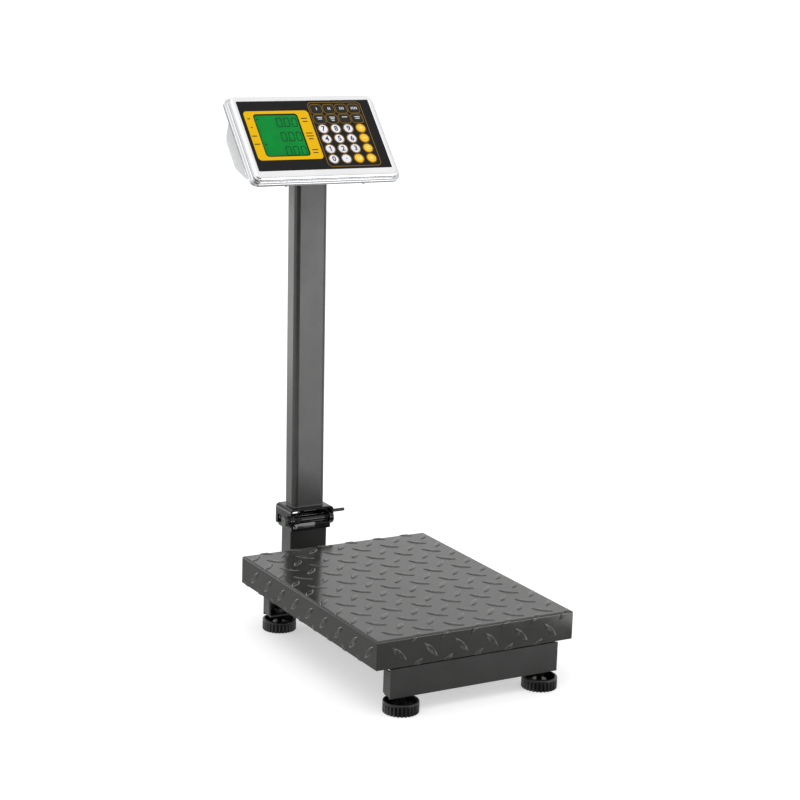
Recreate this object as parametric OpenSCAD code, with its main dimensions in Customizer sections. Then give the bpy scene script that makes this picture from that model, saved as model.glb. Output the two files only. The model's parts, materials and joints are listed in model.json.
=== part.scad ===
// Folding-column platform scale with a price-computing indicator head.
// Millimetres. Origin: middle of the footprint, on the floor. +Y points from the user to the column.
// Distances "from the pan front" run along +Y; place() moves them into this frame.

/* [Platform] */
// Width of the checker-plate pan, left to right
pan_w = 300; // [280:1:340]
// Length of the pan, front to column
pan_l = 400; // [390:1:440]
// Height of the pan's folded skirt
pan_h = 40; // [34:1:44]
// Height of the pan's top face above the floor
pan_top = 104; // [104:1:112]
// Thickness of the pan sheet
pan_t = 3; // [2:0.5:3]
// Outside radius of the pan's folded edge
pan_bend = 4; // [3.5:0.5:6]

/* [Base] */
// Length of each cross channel
channel_w = 255; // [250:1:270]
// Depth of each cross channel, web to flange edge
channel_d = 19.5; // [19:0.5:22]
// Height of each cross channel's underside above the floor
channel_z = 22; // [21:0.5:24]
// Height of each cross channel
channel_h = 40; // [36:0.5:40]
// Sheet thickness of the cross channels
channel_t = 2.5; // [2:0.5:2.5]
// Distance from the pan front to the front channel's web
front_web_y = 2; // [1:0.5:4]
// Distance from the pan front to the rear channel's web
rear_web_y = 371.5; // [368:0.5:374]
// Width of the spine tube that ties the channels to the column
spine_w = 60; // [58:1:64]
// Height of the spine tube
spine_h = 30; // [26:1:30]

/* [Feet] */
// Diameter of a foot's ribbed rim
foot_d = 48; // [44:1:50]
// Height of a foot's rim
foot_h = 16; // [14:0.5:16.5]
// Sideways distance of the feet from the middle
foot_x = 106; // [100:1:110]
// Diameter of the foot studs
stud_d = 8; // [8:0.5:8]

/* [Column] */
// Width of the lower column tube
stub_w = 60; // [54:1:60]
// Depth of the lower column tube
stub_d = 30; // [26:1:30]
// Distance from the pan front to the column's front face
column_y = 483; // [480:1:486]
// Height of the lower column's top end
stub_top = 103.5; // [100:0.5:103.5]
// Distance from the pan front to the middle of the mast's foot
mast_y = 499; // [497:0.5:500]
// Lean of the mast, back from upright
mast_lean = 1.3; // [0:0.1:1.5]
// Width of the mast tube
mast_w = 52; // [48:1:54]
// Depth of the mast tube
mast_d = 32; // [28:1:34]
// Outside corner radius of the mast tube
mast_r = 8; // [6:0.5:9]
// Length of the mast tube
mast_len = 480; // [475:0.5:480]

/* [Fold hinge] */
// Distance from the pan front to the fold axis
hinge_y = 481; // [480:0.5:482]
// Height of the fold axis
hinge_z = 119; // [118:0.5:119.5]
// Radius of the rounded hinge ears
ear_r = 10; // [9:0.5:10.5]
// Diameter of the hinge bolt
hinge_d = 8; // [8:0.5:8]
// Distance from the fold axis back to the latch rod
latch_back = 26; // [25:0.5:27]
// Diameter of the latch rod
latch_d = 5; // [4:0.5:5]
// How far the latch rod pulls back
latch_travel = 5; // [4:0.5:5]

/* [Indicator head] */
// Angle of the head's face, back from upright
head_tilt = 42; // [38:1:46]
// Distance from the pan front to the middle of the face
head_y = 492; // [490:1:496]
// Height of the middle of the face
head_z = 687; // [686:1:690]
// Width of the printed front panel
panel_w = 212; // [206:1:214]
// Height of the printed front panel
panel_h = 120; // [118:1:122]
// Depth of the back shell behind the face
shell_depth = 66; // [64:1:68]
// Sideways distance between keys
key_px = 20.4; // [20.2:0.1:20.6]
// Distance between key rows
key_py = 17.6; // [17.4:0.1:17.8]
// How far a key travels
key_travel = 0.8; // [0.6:0.1:0.9]

/* [Hidden] */
$fn = 48;
eps = 0.01;
run = 0.08;
sheet = 3;
pan_under = pan_top - pan_t;
pan_skirt_z = pan_top - pan_h;
channel_top = channel_z + channel_h;
spine_z = channel_z + 5;
spine_top = spine_z + spine_h;
spine_wall = 2.5;
spine_back = column_y + stub_d + 2;
foot_front_y = 10.5;
foot_rear_y = rear_web_y + front_web_y - foot_front_y;
foot_dish_z = 5;
foot_hub_r = 10;
foot_hub_z = 11.5;
stop_x = 60;
stop_y = 11;
stop_r = 4;
pad_x = 115;

// load cell and platform frame, from the spine upwards
cell_l = 130;
cell_w = 30;
cell_h = 22;
cell_y = 190;
cell_z = spine_top + 3;
frame_z = cell_z + cell_h + 3;
frame_h = 12;
frame_top = frame_z + frame_h;
arm_d = 16;
arm_ys = [foot_front_y + 2.5, foot_rear_y - 2.5];
cell_y0 = cell_y - cell_l / 2;
cell_y1 = cell_y + cell_l / 2;
cell_top = cell_z + cell_h;
cell_bolt_d = 6;
cell_head_r = 5;
cell_sink = 6.4;
frame_sink = 4;
pad_r = 7.5;
pad_gap = 0.3;
stop_gap = 1.5;

// hinge brackets
low_ear = 32.3;
top_ear = 36;
plate_top = stub_top + 3.5;
upper_top = 137.5;
upper_front = 471;
upper_back = 522;
upper_bottom = 108;
latch_y = hinge_y + latch_back;
washer_gap = 0.4;
washer_t = 1.6;
bolt_head_x = top_ear + washer_gap + washer_t;
hinge_af = 13;
nut_h = 6.5;
bolt_play = 0.05;
lower_front = hinge_y - 5;
lower_back = 520;
spacer_r = 5.8;
spacer_x0 = -16.5;
notch_gap = 0.8;

// head
tilt_up = mast_len + 20.5;
tilt_y = mast_y + tilt_up * sin(mast_lean);
tilt_z = upper_top + tilt_up * cos(mast_lean);
tilt_d = 6;
cap_t = 2;
fork_x = 9;
lug_x = 12.4;
lug_out = lug_x + sheet;
screw_r = 1.5;
recess_top = tilt_z + 11;
lug_top = recess_top - 2.5;
bezel_front = 1;
bezel_step = -8;
bezel_back = -13;
flange_back = -16;
shell_x = 108;
panel_t = 3;
board_w0 = -9;
contact_h = 0.4;
key_x0 = 17.5;
key_v0 = 45.4;
key_cap = 0.9;
key_gap = 0.3;
lcd_c = [-51.5, 1.3];
lcd_w = 68;
lcd_h = 71.5;
rocker_tilt = 8;
switch_v = 22;
switch_w = -40;
jack_v = switch_v - 28;
jack_r = 4;

// footprint, front of the front feet to the back of the head's shell
front_y = foot_front_y - foot_d / 2;
rear_y = head_y + 58 * sin(head_tilt) + (shell_depth - 6) * cos(head_tilt);
mid_y = (front_y + rear_y) / 2;

// ---------- helpers ----------

// Moves a shape given from the pan front into the part's frame.
module place() translate([0, -mid_y, 0]) children();

// Puts a shape drawn flat on the head's face (x right, y up the face, z out of it) in its place.
module on_face() place() translate([0, head_y, head_z]) rotate([90 - head_tilt, 0, 0]) children();

// Rectangle with round corners, centred.
module rrect(w, h, r) {
    square([w - 2 * r, h], center = true);
    square([w, h - 2 * r], center = true);
    for (i = [-1, 1], j = [-1, 1]) translate([i * (w / 2 - r), j * (h / 2 - r)]) circle(r);
}

// Block with round vertical edges, centred in plan, from z0 to z1.
module rblock(w, h, r, z0, z1) translate([0, 0, z0]) linear_extrude(z1 - z0) rrect(w, h, r);

// Block from corner a to corner b.
module block(a, b) translate(a) cube(b - a);

// Cylinder along X from x0 to x1 about the line (y, z).
module rod_x(y, z, r, x0, x1) translate([x0, y, z]) rotate([0, 90, 0]) cylinder(r = r, h = x1 - x0);

// Cylinder along Z.
module rod_z(x, y, r, z0, z1) translate([x, y, z0]) cylinder(r = r, h = z1 - z0);

// Hexagon prism along Z, given across its flats.
module hex_z(x, y, af, z0, z1) translate([x, y, z0]) cylinder(r = af / sqrt(3), h = z1 - z0, $fn = 6);

// Hexagon prism along X.
module hex_x(y, z, af, x0, x1)
    translate([x0, y, z]) rotate([0, 90, 0]) cylinder(r = af / sqrt(3), h = x1 - x0, $fn = 6);

// The children and their mirror image on the left.
module both_sides() {
    children();
    mirror([1, 0, 0]) children();
}

// Plan outline extruded along X: children are drawn with x as Y and y as Z.
module side(x0, x1) translate([x0, 0, 0]) rotate([90, 0, 90]) linear_extrude(x1 - x0) children();

// Ring of points around a path point, for swept wires.
function norm3(v) = v / norm(v);
function ring(p, dir, r, n) =
    let (d = norm3(dir), away = abs(d.x) < 0.8 ? [1, 0, 0] : [0, 1, 0])
    let (side_v = norm3(cross(d, away)), up_v = cross(d, side_v))
    [for (i = [0:n - 1]) p + r * (cos(360 * i / n) * side_v + sin(360 * i / n) * up_v)];

// Wire of radius r along a list of points.
module wire(path, r, n = 8) {
    last = len(path) - 1;
    rings = [for (i = [0:last]) ring(path[i], path[min(i + 1, last)] - path[max(i - 1, 0)], r, n)];
    points = [for (q = rings) each q];
    sides = [for (i = [0:last - 1], j = [0:n - 1])
        [i * n + j, i * n + (j + 1) % n, (i + 1) * n + (j + 1) % n, (i + 1) * n + j]];
    ends = [[for (j = [n - 1:-1:0]) j], [for (j = [0:n - 1]) last * n + j]];
    polyhedron(points, concat(sides, ends), convexity = 6);
}

// ---------- base ----------

// Cross channel, open towards +Y, with end tabs folded in from its web; web face at y = 0.
module channel() {
    half = channel_w / 2;
    inner = half - channel_t;
    tab_gap = 1.2;
    weld_nut_af = 12.6;
    foot_y = foot_front_y - front_web_y;
    floor_top = channel_z + channel_t;
    block([-half, 0, channel_z], [half, channel_t, channel_top]);
    block([-inner, channel_t - eps, channel_top - channel_t], [inner, channel_d, channel_top]);
    difference() {
        block([-inner, channel_t - eps, channel_z], [inner, channel_d, floor_top]);
        for (x = [-foot_x, foot_x]) rod_z(x, foot_y, stud_d / 2 + run, channel_z - 1, channel_top);
    }
    both_sides()
        block([inner, channel_t - eps, floor_top + tab_gap],
            [half, channel_d - 1, channel_top - channel_t - tab_gap]);
    for (x = [-foot_x, foot_x]) difference() {
        hex_z(x, foot_y, weld_nut_af, floor_top - eps, floor_top + nut_h);
        rod_z(x, foot_y, stud_d / 2 + run, channel_z, channel_top);
    }
}

// The channel with the two tapped holes of the overload stops.
module channel_with_stops() difference() {
    channel();
    for (x = [-stop_x, stop_x]) rod_z(x, stop_y, stop_r, channel_top - channel_t - 1, channel_top + 1);
}

module base_front_channel() color([0.2, 0.21, 0.2])
    place() translate([0, front_web_y, 0]) channel_with_stops();

module base_rear_channel() color([0.2, 0.21, 0.2]) place() difference() {
    translate([0, rear_web_y, 0]) mirror([0, 1, 0]) channel_with_stops();
    block([-spine_w / 2, rear_web_y - channel_t - 1, spine_z], [spine_w / 2, rear_web_y + 1, spine_top]);
}

module base_spine() color([0.2, 0.21, 0.2]) place() difference() {
    half = spine_w / 2;
    inner = half - spine_wall;
    block([-half, front_web_y + channel_t, spine_z], [half, spine_back, spine_top]);
    block([-inner, 0, spine_z + spine_wall], [inner, spine_back + 1, spine_top - spine_wall]);
    for (y = cell_fixed_bolts()) rod_z(0, y, cell_bolt_d / 2, spine_top - spine_wall - 1, spine_top + 1);
}

// Plastic cap that closes the spine tube at the back.
module spine_end_plug() color([0.05, 0.05, 0.05]) place() {
    lip = 2.5;
    depth = 12;
    wall = 2.5;
    outer = spine_w / 2 - spine_wall;
    low = spine_z + spine_wall;
    high = spine_top - spine_wall;
    difference() {
        block([-outer, spine_back - depth, low], [outer, spine_back, high]);
        block([wall - outer, spine_back - depth - 1, low + wall],
            [outer - wall, spine_back - 2, high - wall]);
    }
    block([-spine_w / 2, spine_back, spine_z], [spine_w / 2, spine_back + lip, spine_top]);
}

module column_stub() color([0.2, 0.21, 0.2]) place() difference() {
    wall = 2.5;
    half = stub_w / 2;
    back = column_y + stub_d;
    block([-half, column_y, spine_top], [half, back, stub_top]);
    block([wall - half, column_y + wall, spine_top - 1], [half - wall, back - wall, stub_top + 1]);
}

// ---------- load path ----------

function cell_fixed_bolts() = [cell_y0 + 10, cell_y0 + 27];
function cell_live_bolts() = [cell_y1 - 27, cell_y1 - 10];

module load_cell() color([0.78, 0.79, 0.8]) place() difference() {
    window = 16;
    window_r = 8;
    slot = 3;
    middle = cell_z + cell_h / 2;
    thread_depth = 14;
    block([-cell_w / 2, cell_y0, cell_z], [cell_w / 2, cell_y1, cell_top]);
    // the bending window: two round holes joined by a slot
    for (y = [cell_y - window, cell_y + window]) rod_x(y, middle, window_r, -cell_w, cell_w);
    block([-cell_w, cell_y - window, middle - slot], [cell_w, cell_y + window, middle + slot]);
    for (y = cell_fixed_bolts()) {
        rod_z(0, y, cell_bolt_d / 2, cell_z - 1, cell_top + 1);
        rod_z(0, y, cell_head_r + 0.5, cell_top - cell_sink, cell_top + 1);
    }
    for (y = cell_live_bolts()) rod_z(0, y, cell_bolt_d / 2, cell_top - thread_depth, cell_top + 1);
}

// Spacers under and over the load cell's ends, and its four bolts with two nuts.
module load_cell_hardware() color([0.7, 0.7, 0.72]) place() {
    spacer_l = 37;
    nut_af = 10;
    nut_t = 5;
    tube_under = spine_top - spine_wall;
    difference() {
        block([-cell_w / 2, cell_y0, spine_top], [cell_w / 2, cell_y0 + spacer_l, cell_z]);
        for (y = cell_fixed_bolts()) rod_z(0, y, cell_bolt_d / 2, spine_top - 1, cell_z + 1);
    }
    difference() {
        block([-cell_w / 2, cell_y1 - spacer_l, cell_top], [cell_w / 2, cell_y1, frame_z]);
        for (y = cell_live_bolts()) rod_z(0, y, cell_bolt_d / 2, cell_z, frame_top);
    }
    for (y = cell_fixed_bolts()) {
        rod_z(0, y, cell_bolt_d / 2, tube_under - nut_t - 2, cell_top - cell_sink);
        rod_z(0, y, cell_head_r, cell_top - cell_sink, cell_top - 0.6);
        difference() {
            hex_z(0, y, nut_af, tube_under - nut_t, tube_under);
            rod_z(0, y, cell_bolt_d / 2, spine_z, spine_top);
        }
    }
    for (y = cell_live_bolts()) {
        rod_z(0, y, cell_bolt_d / 2, cell_top - 13, frame_top - frame_sink);
        rod_z(0, y, cell_head_r, frame_top - frame_sink, frame_top);
    }
}

// Outline of the platform frame from above: a spine and two arms, less an inset on every side.
module frame_bars(inset, z0, z1, over) {
    spine_half = 25;
    arm_half = 128;
    half_d = arm_d / 2 - inset;
    mid = spine_half - inset;
    block([-mid, arm_ys[0] - half_d - 2 * over, z0], [mid, arm_ys[1] + half_d + 2 * over, z1]);
    for (y = arm_ys) block([-arm_half - over, y - half_d, z0], [arm_half + over, y + half_d, z1]);
}

// H-shaped tube frame that the pan rests on.
module platform_frame() color([0.2, 0.21, 0.2]) place() {
    wall = 2;
    boss_r = 8;
    difference() {
        frame_bars(0, frame_z, frame_top, 0);
        difference() {
            frame_bars(wall, frame_z + wall, frame_top - wall, 2 * wall);
            for (y = cell_live_bolts()) rod_z(0, y, boss_r, frame_z, frame_top);
        }
        for (y = cell_live_bolts()) {
            rod_z(0, y, cell_bolt_d / 2, frame_z - 1, frame_top);
            rod_z(0, y, cell_head_r, frame_top - frame_sink, frame_top + 1);
        }
    }
}

module platform_pads() color([0.06, 0.06, 0.06]) place()
    for (x = [-pad_x, pad_x], y = arm_ys) rod_z(x, y, pad_r, frame_top, pan_under - pad_gap);

module overload_stops() color([0.7, 0.7, 0.72]) place() {
    nut_af = 13;
    under = 9;
    for (x = [-stop_x, stop_x], y = [front_web_y + stop_y, rear_web_y - stop_y]) {
        rod_z(x, y, stop_r, channel_top - channel_t - under, frame_z - stop_gap);
        difference() {
            hex_z(x, y, nut_af, channel_top, channel_top + nut_h);
            rod_z(x, y, stop_r, channel_top - 1, channel_top + nut_h + 1);
        }
    }
}

// Box with round top edges and mitred corners, from the skirt's lower edge to the top.
module folded(w, l, r, z0, z1) intersection() {
    along_y(0, l) arch(w, r, z0, z1);
    side(-w / 2, w / 2) translate([l / 2, 0]) arch(l, r, z0, z1);
}

// Profile drawn in X and Z, drawn out along Y.
module along_y(y0, y1) translate([0, y1, 0]) rotate([90, 0, 0]) linear_extrude(y1 - y0) children();

// Upright rectangle with round top corners.
module arch(w, r, z0, z1) {
    translate([-w / 2, z0]) square([w, z1 - z0 - r]);
    translate([-w / 2 + r, z0]) square([w - 2 * r, z1 - z0]);
    for (s = [-1, 1]) translate([s * (w / 2 - r), z1 - r]) circle(r);
}

module platform_pan() color([0.3, 0.31, 0.31]) place() difference() {
    folded(pan_w, pan_l, pan_bend, pan_skirt_z, pan_top);
    translate([0, pan_t, 0])
        folded(pan_w - 2 * pan_t, pan_l - 2 * pan_t, pan_bend - pan_t, pan_skirt_z - 5, pan_under);
}

// ---------- feet ----------

// Levelling foot: dished, ribbed disc on a threaded stud.
module foot(x, y) color([0.06, 0.06, 0.06]) place() {
    rim_t = 3.5;
    stud_top = channel_z + channel_t + nut_h + 4;
    difference() {
        rod_z(x, y, foot_d / 2, 0, foot_h);
        rod_z(x, y, foot_d / 2 - rim_t, foot_dish_z, foot_h + 1);
    }
    rod_z(x, y, foot_hub_r, foot_dish_z - eps, foot_hub_z);
    rod_z(x, y, stud_d / 2, foot_dish_z - eps, stud_top);
}

module foot_front_left() foot(-foot_x, foot_front_y);
module foot_front_right() foot(foot_x, foot_front_y);
module foot_rear_left() foot(-foot_x, foot_rear_y);
module foot_rear_right() foot(foot_x, foot_rear_y);

module foot_lock_nuts() color([0.3, 0.3, 0.3]) place()
    for (x = [-foot_x, foot_x], y = [foot_front_y, foot_rear_y])
        difference() {
            hex_z(x, y, 13, channel_z - nut_h, channel_z);
            rod_z(x, y, stud_d / 2 + run, channel_z - nut_h - 1, channel_z + 1);
        }

// ---------- fold hinge ----------

// Floor plate on the column stub with two ears that carry the fold bolt and guide the latch rod.
module lower_hinge_bracket() color([0.1, 0.1, 0.1]) place() {
    inner = low_ear - sheet;
    block([-inner - eps, lower_front, stub_top], [inner + eps, lower_back, plate_top]);
    both_sides() difference() {
        union() {
            side(inner, low_ear) lower_ear();
            rod_x(hinge_y, hinge_z, ear_r, inner, low_ear);
        }
        rod_x(hinge_y, hinge_z, hinge_d / 2 + bolt_play, 0, top_ear);
        side(0, top_ear) latch_slot();
    }
}

// Outline of a lower ear in Y and Z, without its round hinge eye.
module lower_ear() {
    cut = 6;
    top = upper_top - cut;
    polygon([
        [lower_front, stub_top], [lower_back, stub_top], [lower_back, top - cut], [lower_back - cut, top],
        [hinge_y + 8, top], [hinge_y, hinge_z + ear_r - eps], [lower_front, hinge_z]
    ]);
}

// Slot that the latch rod slides back in.
module latch_slot() {
    r = latch_d / 2 + 0.3;
    for (y = [latch_y, latch_y + latch_travel]) translate([y, hinge_z]) circle(r);
    translate([latch_y, hinge_z - r]) square([latch_travel, 2 * r]);
}

// Inverted U that the mast stands on; its ears turn about the hinge bolt outside the lower ears.
module upper_hinge_bracket() color([0.1, 0.1, 0.1]) place() difference() {
    bend = 6;
    plate_front = upper_front + 2;
    half = top_ear - sheet;
    union() {
        difference() {
            along_y(plate_front, upper_back) arch(2 * top_ear, bend, upper_bottom, upper_top);
            along_y(upper_front - 1, upper_back + 1)
                arch(2 * half, bend - sheet, upper_bottom - 1, upper_top - sheet);
            // below the fold axis the ears are cut back to the round eye
            block([-top_ear - 1, upper_front - 1, upper_bottom - 1], [top_ear + 1, hinge_y, hinge_z]);
        }
        both_sides() rod_x(hinge_y, hinge_z, ear_r, half, top_ear);
    }
    rod_x(hinge_y, hinge_z, hinge_d / 2 + run, -top_ear - 1, top_ear + 1);
    side(-top_ear - 1, top_ear + 1) hook_notch();
}

// Hook notch over the latch rod, in Y and Z. Below the axis its front edge follows the arc that the rod
// takes past the ear as the mast folds.
module hook_notch() {
    gap = latch_d / 2 + notch_gap;
    back = latch_y + latch_travel + gap;
    low = upper_bottom - 1;
    translate([latch_y - gap, low]) square([back - latch_y + gap, hinge_z + gap - low]);
    difference() {
        translate([hinge_y, low]) square([back - hinge_y, hinge_z - low]);
        translate([hinge_y, hinge_z]) circle(latch_back - gap);
    }
}

module hinge_bolt() color([0.42, 0.43, 0.4]) place() {
    head_h = 5.3;
    dimple_r = 3.2;
    rod_x(hinge_y, hinge_z, hinge_d / 2, -bolt_head_x, top_ear + washer_gap);
    difference() {
        hex_x(hinge_y, hinge_z, hinge_af, -bolt_head_x - head_h, -bolt_head_x);
        rod_x(hinge_y, hinge_z, dimple_r, -bolt_head_x - head_h - 1, -bolt_head_x - head_h + 0.6);
    }
}

// Spacer tube, lock nut and washer on the hinge bolt.
module hinge_spacer_and_nut() color([0.08, 0.08, 0.08]) place() {
    nut_x = low_ear - sheet - nut_h;
    washer_r = 8;
    difference() {
        union() {
            hex_x(hinge_y, hinge_z, hinge_af, nut_x, low_ear - sheet);
            rod_x(hinge_y, hinge_z, spacer_r, spacer_x0, nut_x + eps);
        }
        rod_x(hinge_y, hinge_z, hinge_d / 2, spacer_x0 - 1, top_ear);
    }
    difference() {
        rod_x(hinge_y, hinge_z, washer_r, -bolt_head_x, -top_ear - washer_gap);
        rod_x(hinge_y, hinge_z, hinge_d / 2, -bolt_head_x - 1, 0);
    }
}

// Torsion spring round the hinge bolt, one leg on the bracket floor and one back to the latch rod.
module hinge_spring() color([0.15, 0.15, 0.15]) place() {
    turns = 4;
    steps = 18;
    coil_r = 5.6;
    wire_r = 1;
    x0 = -low_ear + sheet + 1.6;
    pitch = 2.3;
    coil = [for (i = [0:turns * steps]) let (a = 360 * i / steps)
        [x0 + pitch * i / steps, hinge_y + coil_r * sin(a), hinge_z - coil_r * cos(a)]];
    leg_down = [[x0 - 0.4, hinge_y - 9, hinge_z - 8.4], [x0 - 0.1, hinge_y - 3, hinge_z - coil_r - 0.2]];
    leg_back = [
        [x0 + pitch * turns + 0.2, hinge_y + 4, hinge_z - coil_r + 0.1],
        [x0 + pitch * turns + 0.4, hinge_y + 14, hinge_z - coil_r + 0.6],
        [x0 + pitch * turns + 0.4, latch_y - 2, hinge_z - coil_r + 0.6]
    ];
    wire(concat(leg_down, coil, leg_back), wire_r);
}

// Cross rod of the latch, with its collar, its sleeve and its finger end on the right.
module latch_rod() color([0.08, 0.08, 0.08]) place() {
    finger = 70;
    inner = low_ear - sheet;
    rod_x(latch_y, hinge_z, latch_d / 2, -top_ear - 0.5, finger);
    translate([finger, latch_y, hinge_z]) sphere(latch_d / 2);
    difference() {
        union() {
            rod_x(latch_y, hinge_z, 4.5, 3, inner - 0.5);
            rod_x(latch_y, hinge_z, 5.5, -4.5, 2.5);
            rod_x(latch_y, hinge_z, 5, 0.5 - inner, 1.5 - inner);
        }
        rod_x(latch_y, hinge_z, latch_d / 2, -top_ear, top_ear);
    }
}

// ---------- mast ----------

// Places a shape drawn upright about the origin on the mast's foot, leaning with the mast.
module on_mast() place() translate([0, mast_y, upper_top]) rotate([-mast_lean, 0, 0]) children();

module mast_tube() color([0.25, 0.26, 0.26]) difference() {
    wall = 2;
    on_mast() rblock(mast_w, mast_d, mast_r, -2, mast_len);
    on_mast() rblock(mast_w - 2 * wall, mast_d - 2 * wall, mast_r - wall, -3, mast_len + 1);
    place() block([-mast_w, mast_y - mast_d, upper_top - 10], [mast_w, mast_y + mast_d, upper_top]);
}

// Cap plate on the mast with two ears that carry the head.
module neck_fork() color([0.12, 0.12, 0.12]) on_mast() {
    ear = 7;
    rblock(mast_w, mast_d, mast_r, mast_len, mast_len + cap_t);
    both_sides() difference() {
        union() {
            block([fork_x, -ear, mast_len + cap_t - eps], [fork_x + sheet, ear, tilt_up]);
            rod_x(0, tilt_up, ear, fork_x, fork_x + sheet);
        }
        rod_x(0, tilt_up, tilt_d / 2 + run, 0, 2 * fork_x);
    }
}

// ---------- head ----------

// Inverted U in the shell's recess; its lugs turn on the fork's ears.
module head_bracket() color([0.5, 0.5, 0.5]) place() {
    lug = 7;
    plate_half = 8;
    difference() {
        block([-lug_out, tilt_y - plate_half, lug_top], [lug_out, tilt_y + plate_half, recess_top]);
        for (y = neck_screws()) rod_z(0, y, screw_r, tilt_z, recess_top + 1);
    }
    both_sides() difference() {
        union() {
            block([lug_x, tilt_y - lug, tilt_z], [lug_out, tilt_y + lug, lug_top + eps]);
            rod_x(tilt_y, tilt_z, lug, lug_x, lug_out);
        }
        rod_x(tilt_y, tilt_z, tilt_d / 2, 0, lug_out + 1);
    }
}

// Screws that hold the bracket to the recess's ceiling, as distances from the pan front.
function neck_screws() = [tilt_y - 4.5, tilt_y + 4.5];

module tilt_bolt_set() color([0.6, 0.6, 0.6]) place() {
    af = 10;
    nut_t = 5;
    head_t = 4;
    rod_x(tilt_y, tilt_z, tilt_d / 2, -lug_out, lug_out + nut_t + 1.5);
    hex_x(tilt_y, tilt_z, af, -lug_out - head_t, eps - lug_out);
    difference() {
        hex_x(tilt_y, tilt_z, af, lug_out, lug_out + nut_t);
        rod_x(tilt_y, tilt_z, tilt_d / 2, 0, lug_out + nut_t + 1);
    }
}

// Polished frame round the front panel: a front ring, a wider step behind it and a ledge inside.
module head_bezel() color([0.85, 0.86, 0.87]) on_face() difference() {
    union() {
        translate([0, -2, 0]) rblock(229, 143, 9, bezel_step, bezel_front);
        translate([0, -2, 0]) rblock(241, 150, 13, bezel_back, bezel_step + eps);
    }
    rblock(panel_w + 0.4, panel_h + 0.4, 1.5, -panel_t, bezel_front + 1);
    rblock(panel_w - 10, panel_h - 10, 1.5, -panel_t - 3, -panel_t + eps);
    translate([0, -2, 0]) rblock(222, 136, 7, bezel_back - 1, -panel_t - 2.5);
    for (p = flange_screws()) translate([p.x, p.y, bezel_back - 1]) cylinder(r = 1.5, h = 4.6);
}

// Places on the face of the screws that hold the shell to the bezel: four at the sides, four above and below.
function flange_screws() = [
    for (x = [-115.5, 115.5], v = [-50, 46]) [x, v],
    for (x = [-62, 62], v = [-73, 69]) [x, v]
];

// Outline of the back shell in section, inset by t: x is up the face, y is out of the face.
function shell_section(t) = let (mouth = flange_back + (t > 0 ? 5 : 0), back = -shell_depth + t) [
    [66 - t, mouth], [62 - t, -50], [58 - t, 6 - shell_depth + t / 2], [50 - t / 2, back],
    [-8 + t / 3, back], [-44 + t / 2, -42 + t], [-62 + t, -26 + t / 2], [-66 + t, mouth]
];

// Section outline drawn out along X, inside the head's own frame.
module shell_solid(half, t)
    translate([-half, 0, 0]) rotate([90, 0, 90]) linear_extrude(2 * half) polygon(shell_section(t));

// Recess in the shell's underside that takes the fork; wall widens it on every side.
module neck_recess(wall) place() {
    half = 23.5 + wall;
    depth = 60;
    block([-half, tilt_y - 12.5 - wall, tilt_z - depth], [half, tilt_y + 17 + wall, recess_top + wall]);
}

module head_shell() color([0.8, 0.81, 0.8]) {
    wall = 2.5;
    difference() {
        union() {
            on_face() difference() {
                shell_solid(shell_x, 0);
                shell_solid(shell_x - wall, wall);
            }
            intersection() {
                on_face() shell_solid(shell_x - 1, 0);
                neck_recess(wall);
            }
            on_face() difference() {
                translate([0, -2, 0]) rblock(237, 146, 11, flange_back, bezel_back);
                rblock(205, 120, 6, flange_back - 1, bezel_back + 1);
                for (p = flange_screws()) translate([p.x, p.y, flange_back - 1]) cylinder(r = screw_r, h = 5);
            }
        }
        neck_recess(0);
        on_face() translate([shell_x, switch_v, switch_w]) cube([20, 19, 13], center = true);
        on_face() translate([shell_x - 5, jack_v, switch_w]) rotate([0, 90, 0]) cylinder(r = jack_r, h = 20);
        place() for (y = neck_screws()) rod_z(0, y, screw_r, tilt_z, recess_top + 4);
    }
}

module overlay_panel() color([0.05, 0.05, 0.05]) on_face() difference() {
    rblock(panel_w, panel_h, 1.2, -panel_t, 0);
    translate(lcd_c) rblock(lcd_w, lcd_h, 4, -panel_t - 1, 1);
    for (r = [1:6], c = [1:4])
        translate([key_x(c), key_v(r), -panel_t - 1]) key_outline(r, key_gap, panel_t + 2);
}

module lcd_module() color([0.1, 0.5, 0.25]) on_face() translate(lcd_c) {
    rblock(lcd_w - 0.6, lcd_h - 0.6, 3.7, -panel_t - 0.4, -0.5);
    rblock(lcd_w + 6, lcd_h + 6, 2, board_w0 + 0.4, -panel_t - 0.3);
}

module circuit_board() color([0.08, 0.3, 0.15]) on_face() {
    rblock(196, 104, 3, board_w0 - 1.6, board_w0);
    for (r = [1:6], c = [1:4]) translate([key_x(c), key_v(r), board_w0 - eps]) cylinder(r = 4, h = contact_h);
    // microcontroller, connector and buzzer on the back
    translate([20, 15, board_w0 - 4]) cube([24, 24, 2.41]);
    translate([-60, -40, board_w0 - 9.6]) cube([18, 6, 8.01]);
    translate([70, -30, board_w0 - 10]) cylinder(r = 6, h = 8.41);
}

// Sealed lead-acid battery with two blade terminals.
module battery() color([0.15, 0.15, 0.17]) on_face() {
    case_w = -shell_depth + 2.5;
    case_h = 44;
    middle = 24;
    translate([0, middle, 0]) rblock(100, 46, 2, case_w, case_w + case_h);
    for (x = [-14, 14]) translate([x - 2.4, middle + 6, case_w + case_h - eps]) cube([4.8, 0.8, 6.5]);
}

// Eight pan-head screws in the shell's flange, and two that hold the neck bracket.
module head_screws() color([0.7, 0.7, 0.72]) {
    cap = 1.8;
    on_face() for (p = flange_screws()) translate([p.x, p.y, 0]) {
        translate([0, 0, flange_back - cap]) cylinder(r = 2.8, h = cap);
        translate([0, 0, flange_back - eps]) cylinder(r = screw_r, h = 5.5);
    }
    place() for (y = neck_screws()) {
        rod_z(0, y, 2.6, lug_top - cap, lug_top);
        rod_z(0, y, screw_r, lug_top - eps, recess_top + 2.5);
    }
}

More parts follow.
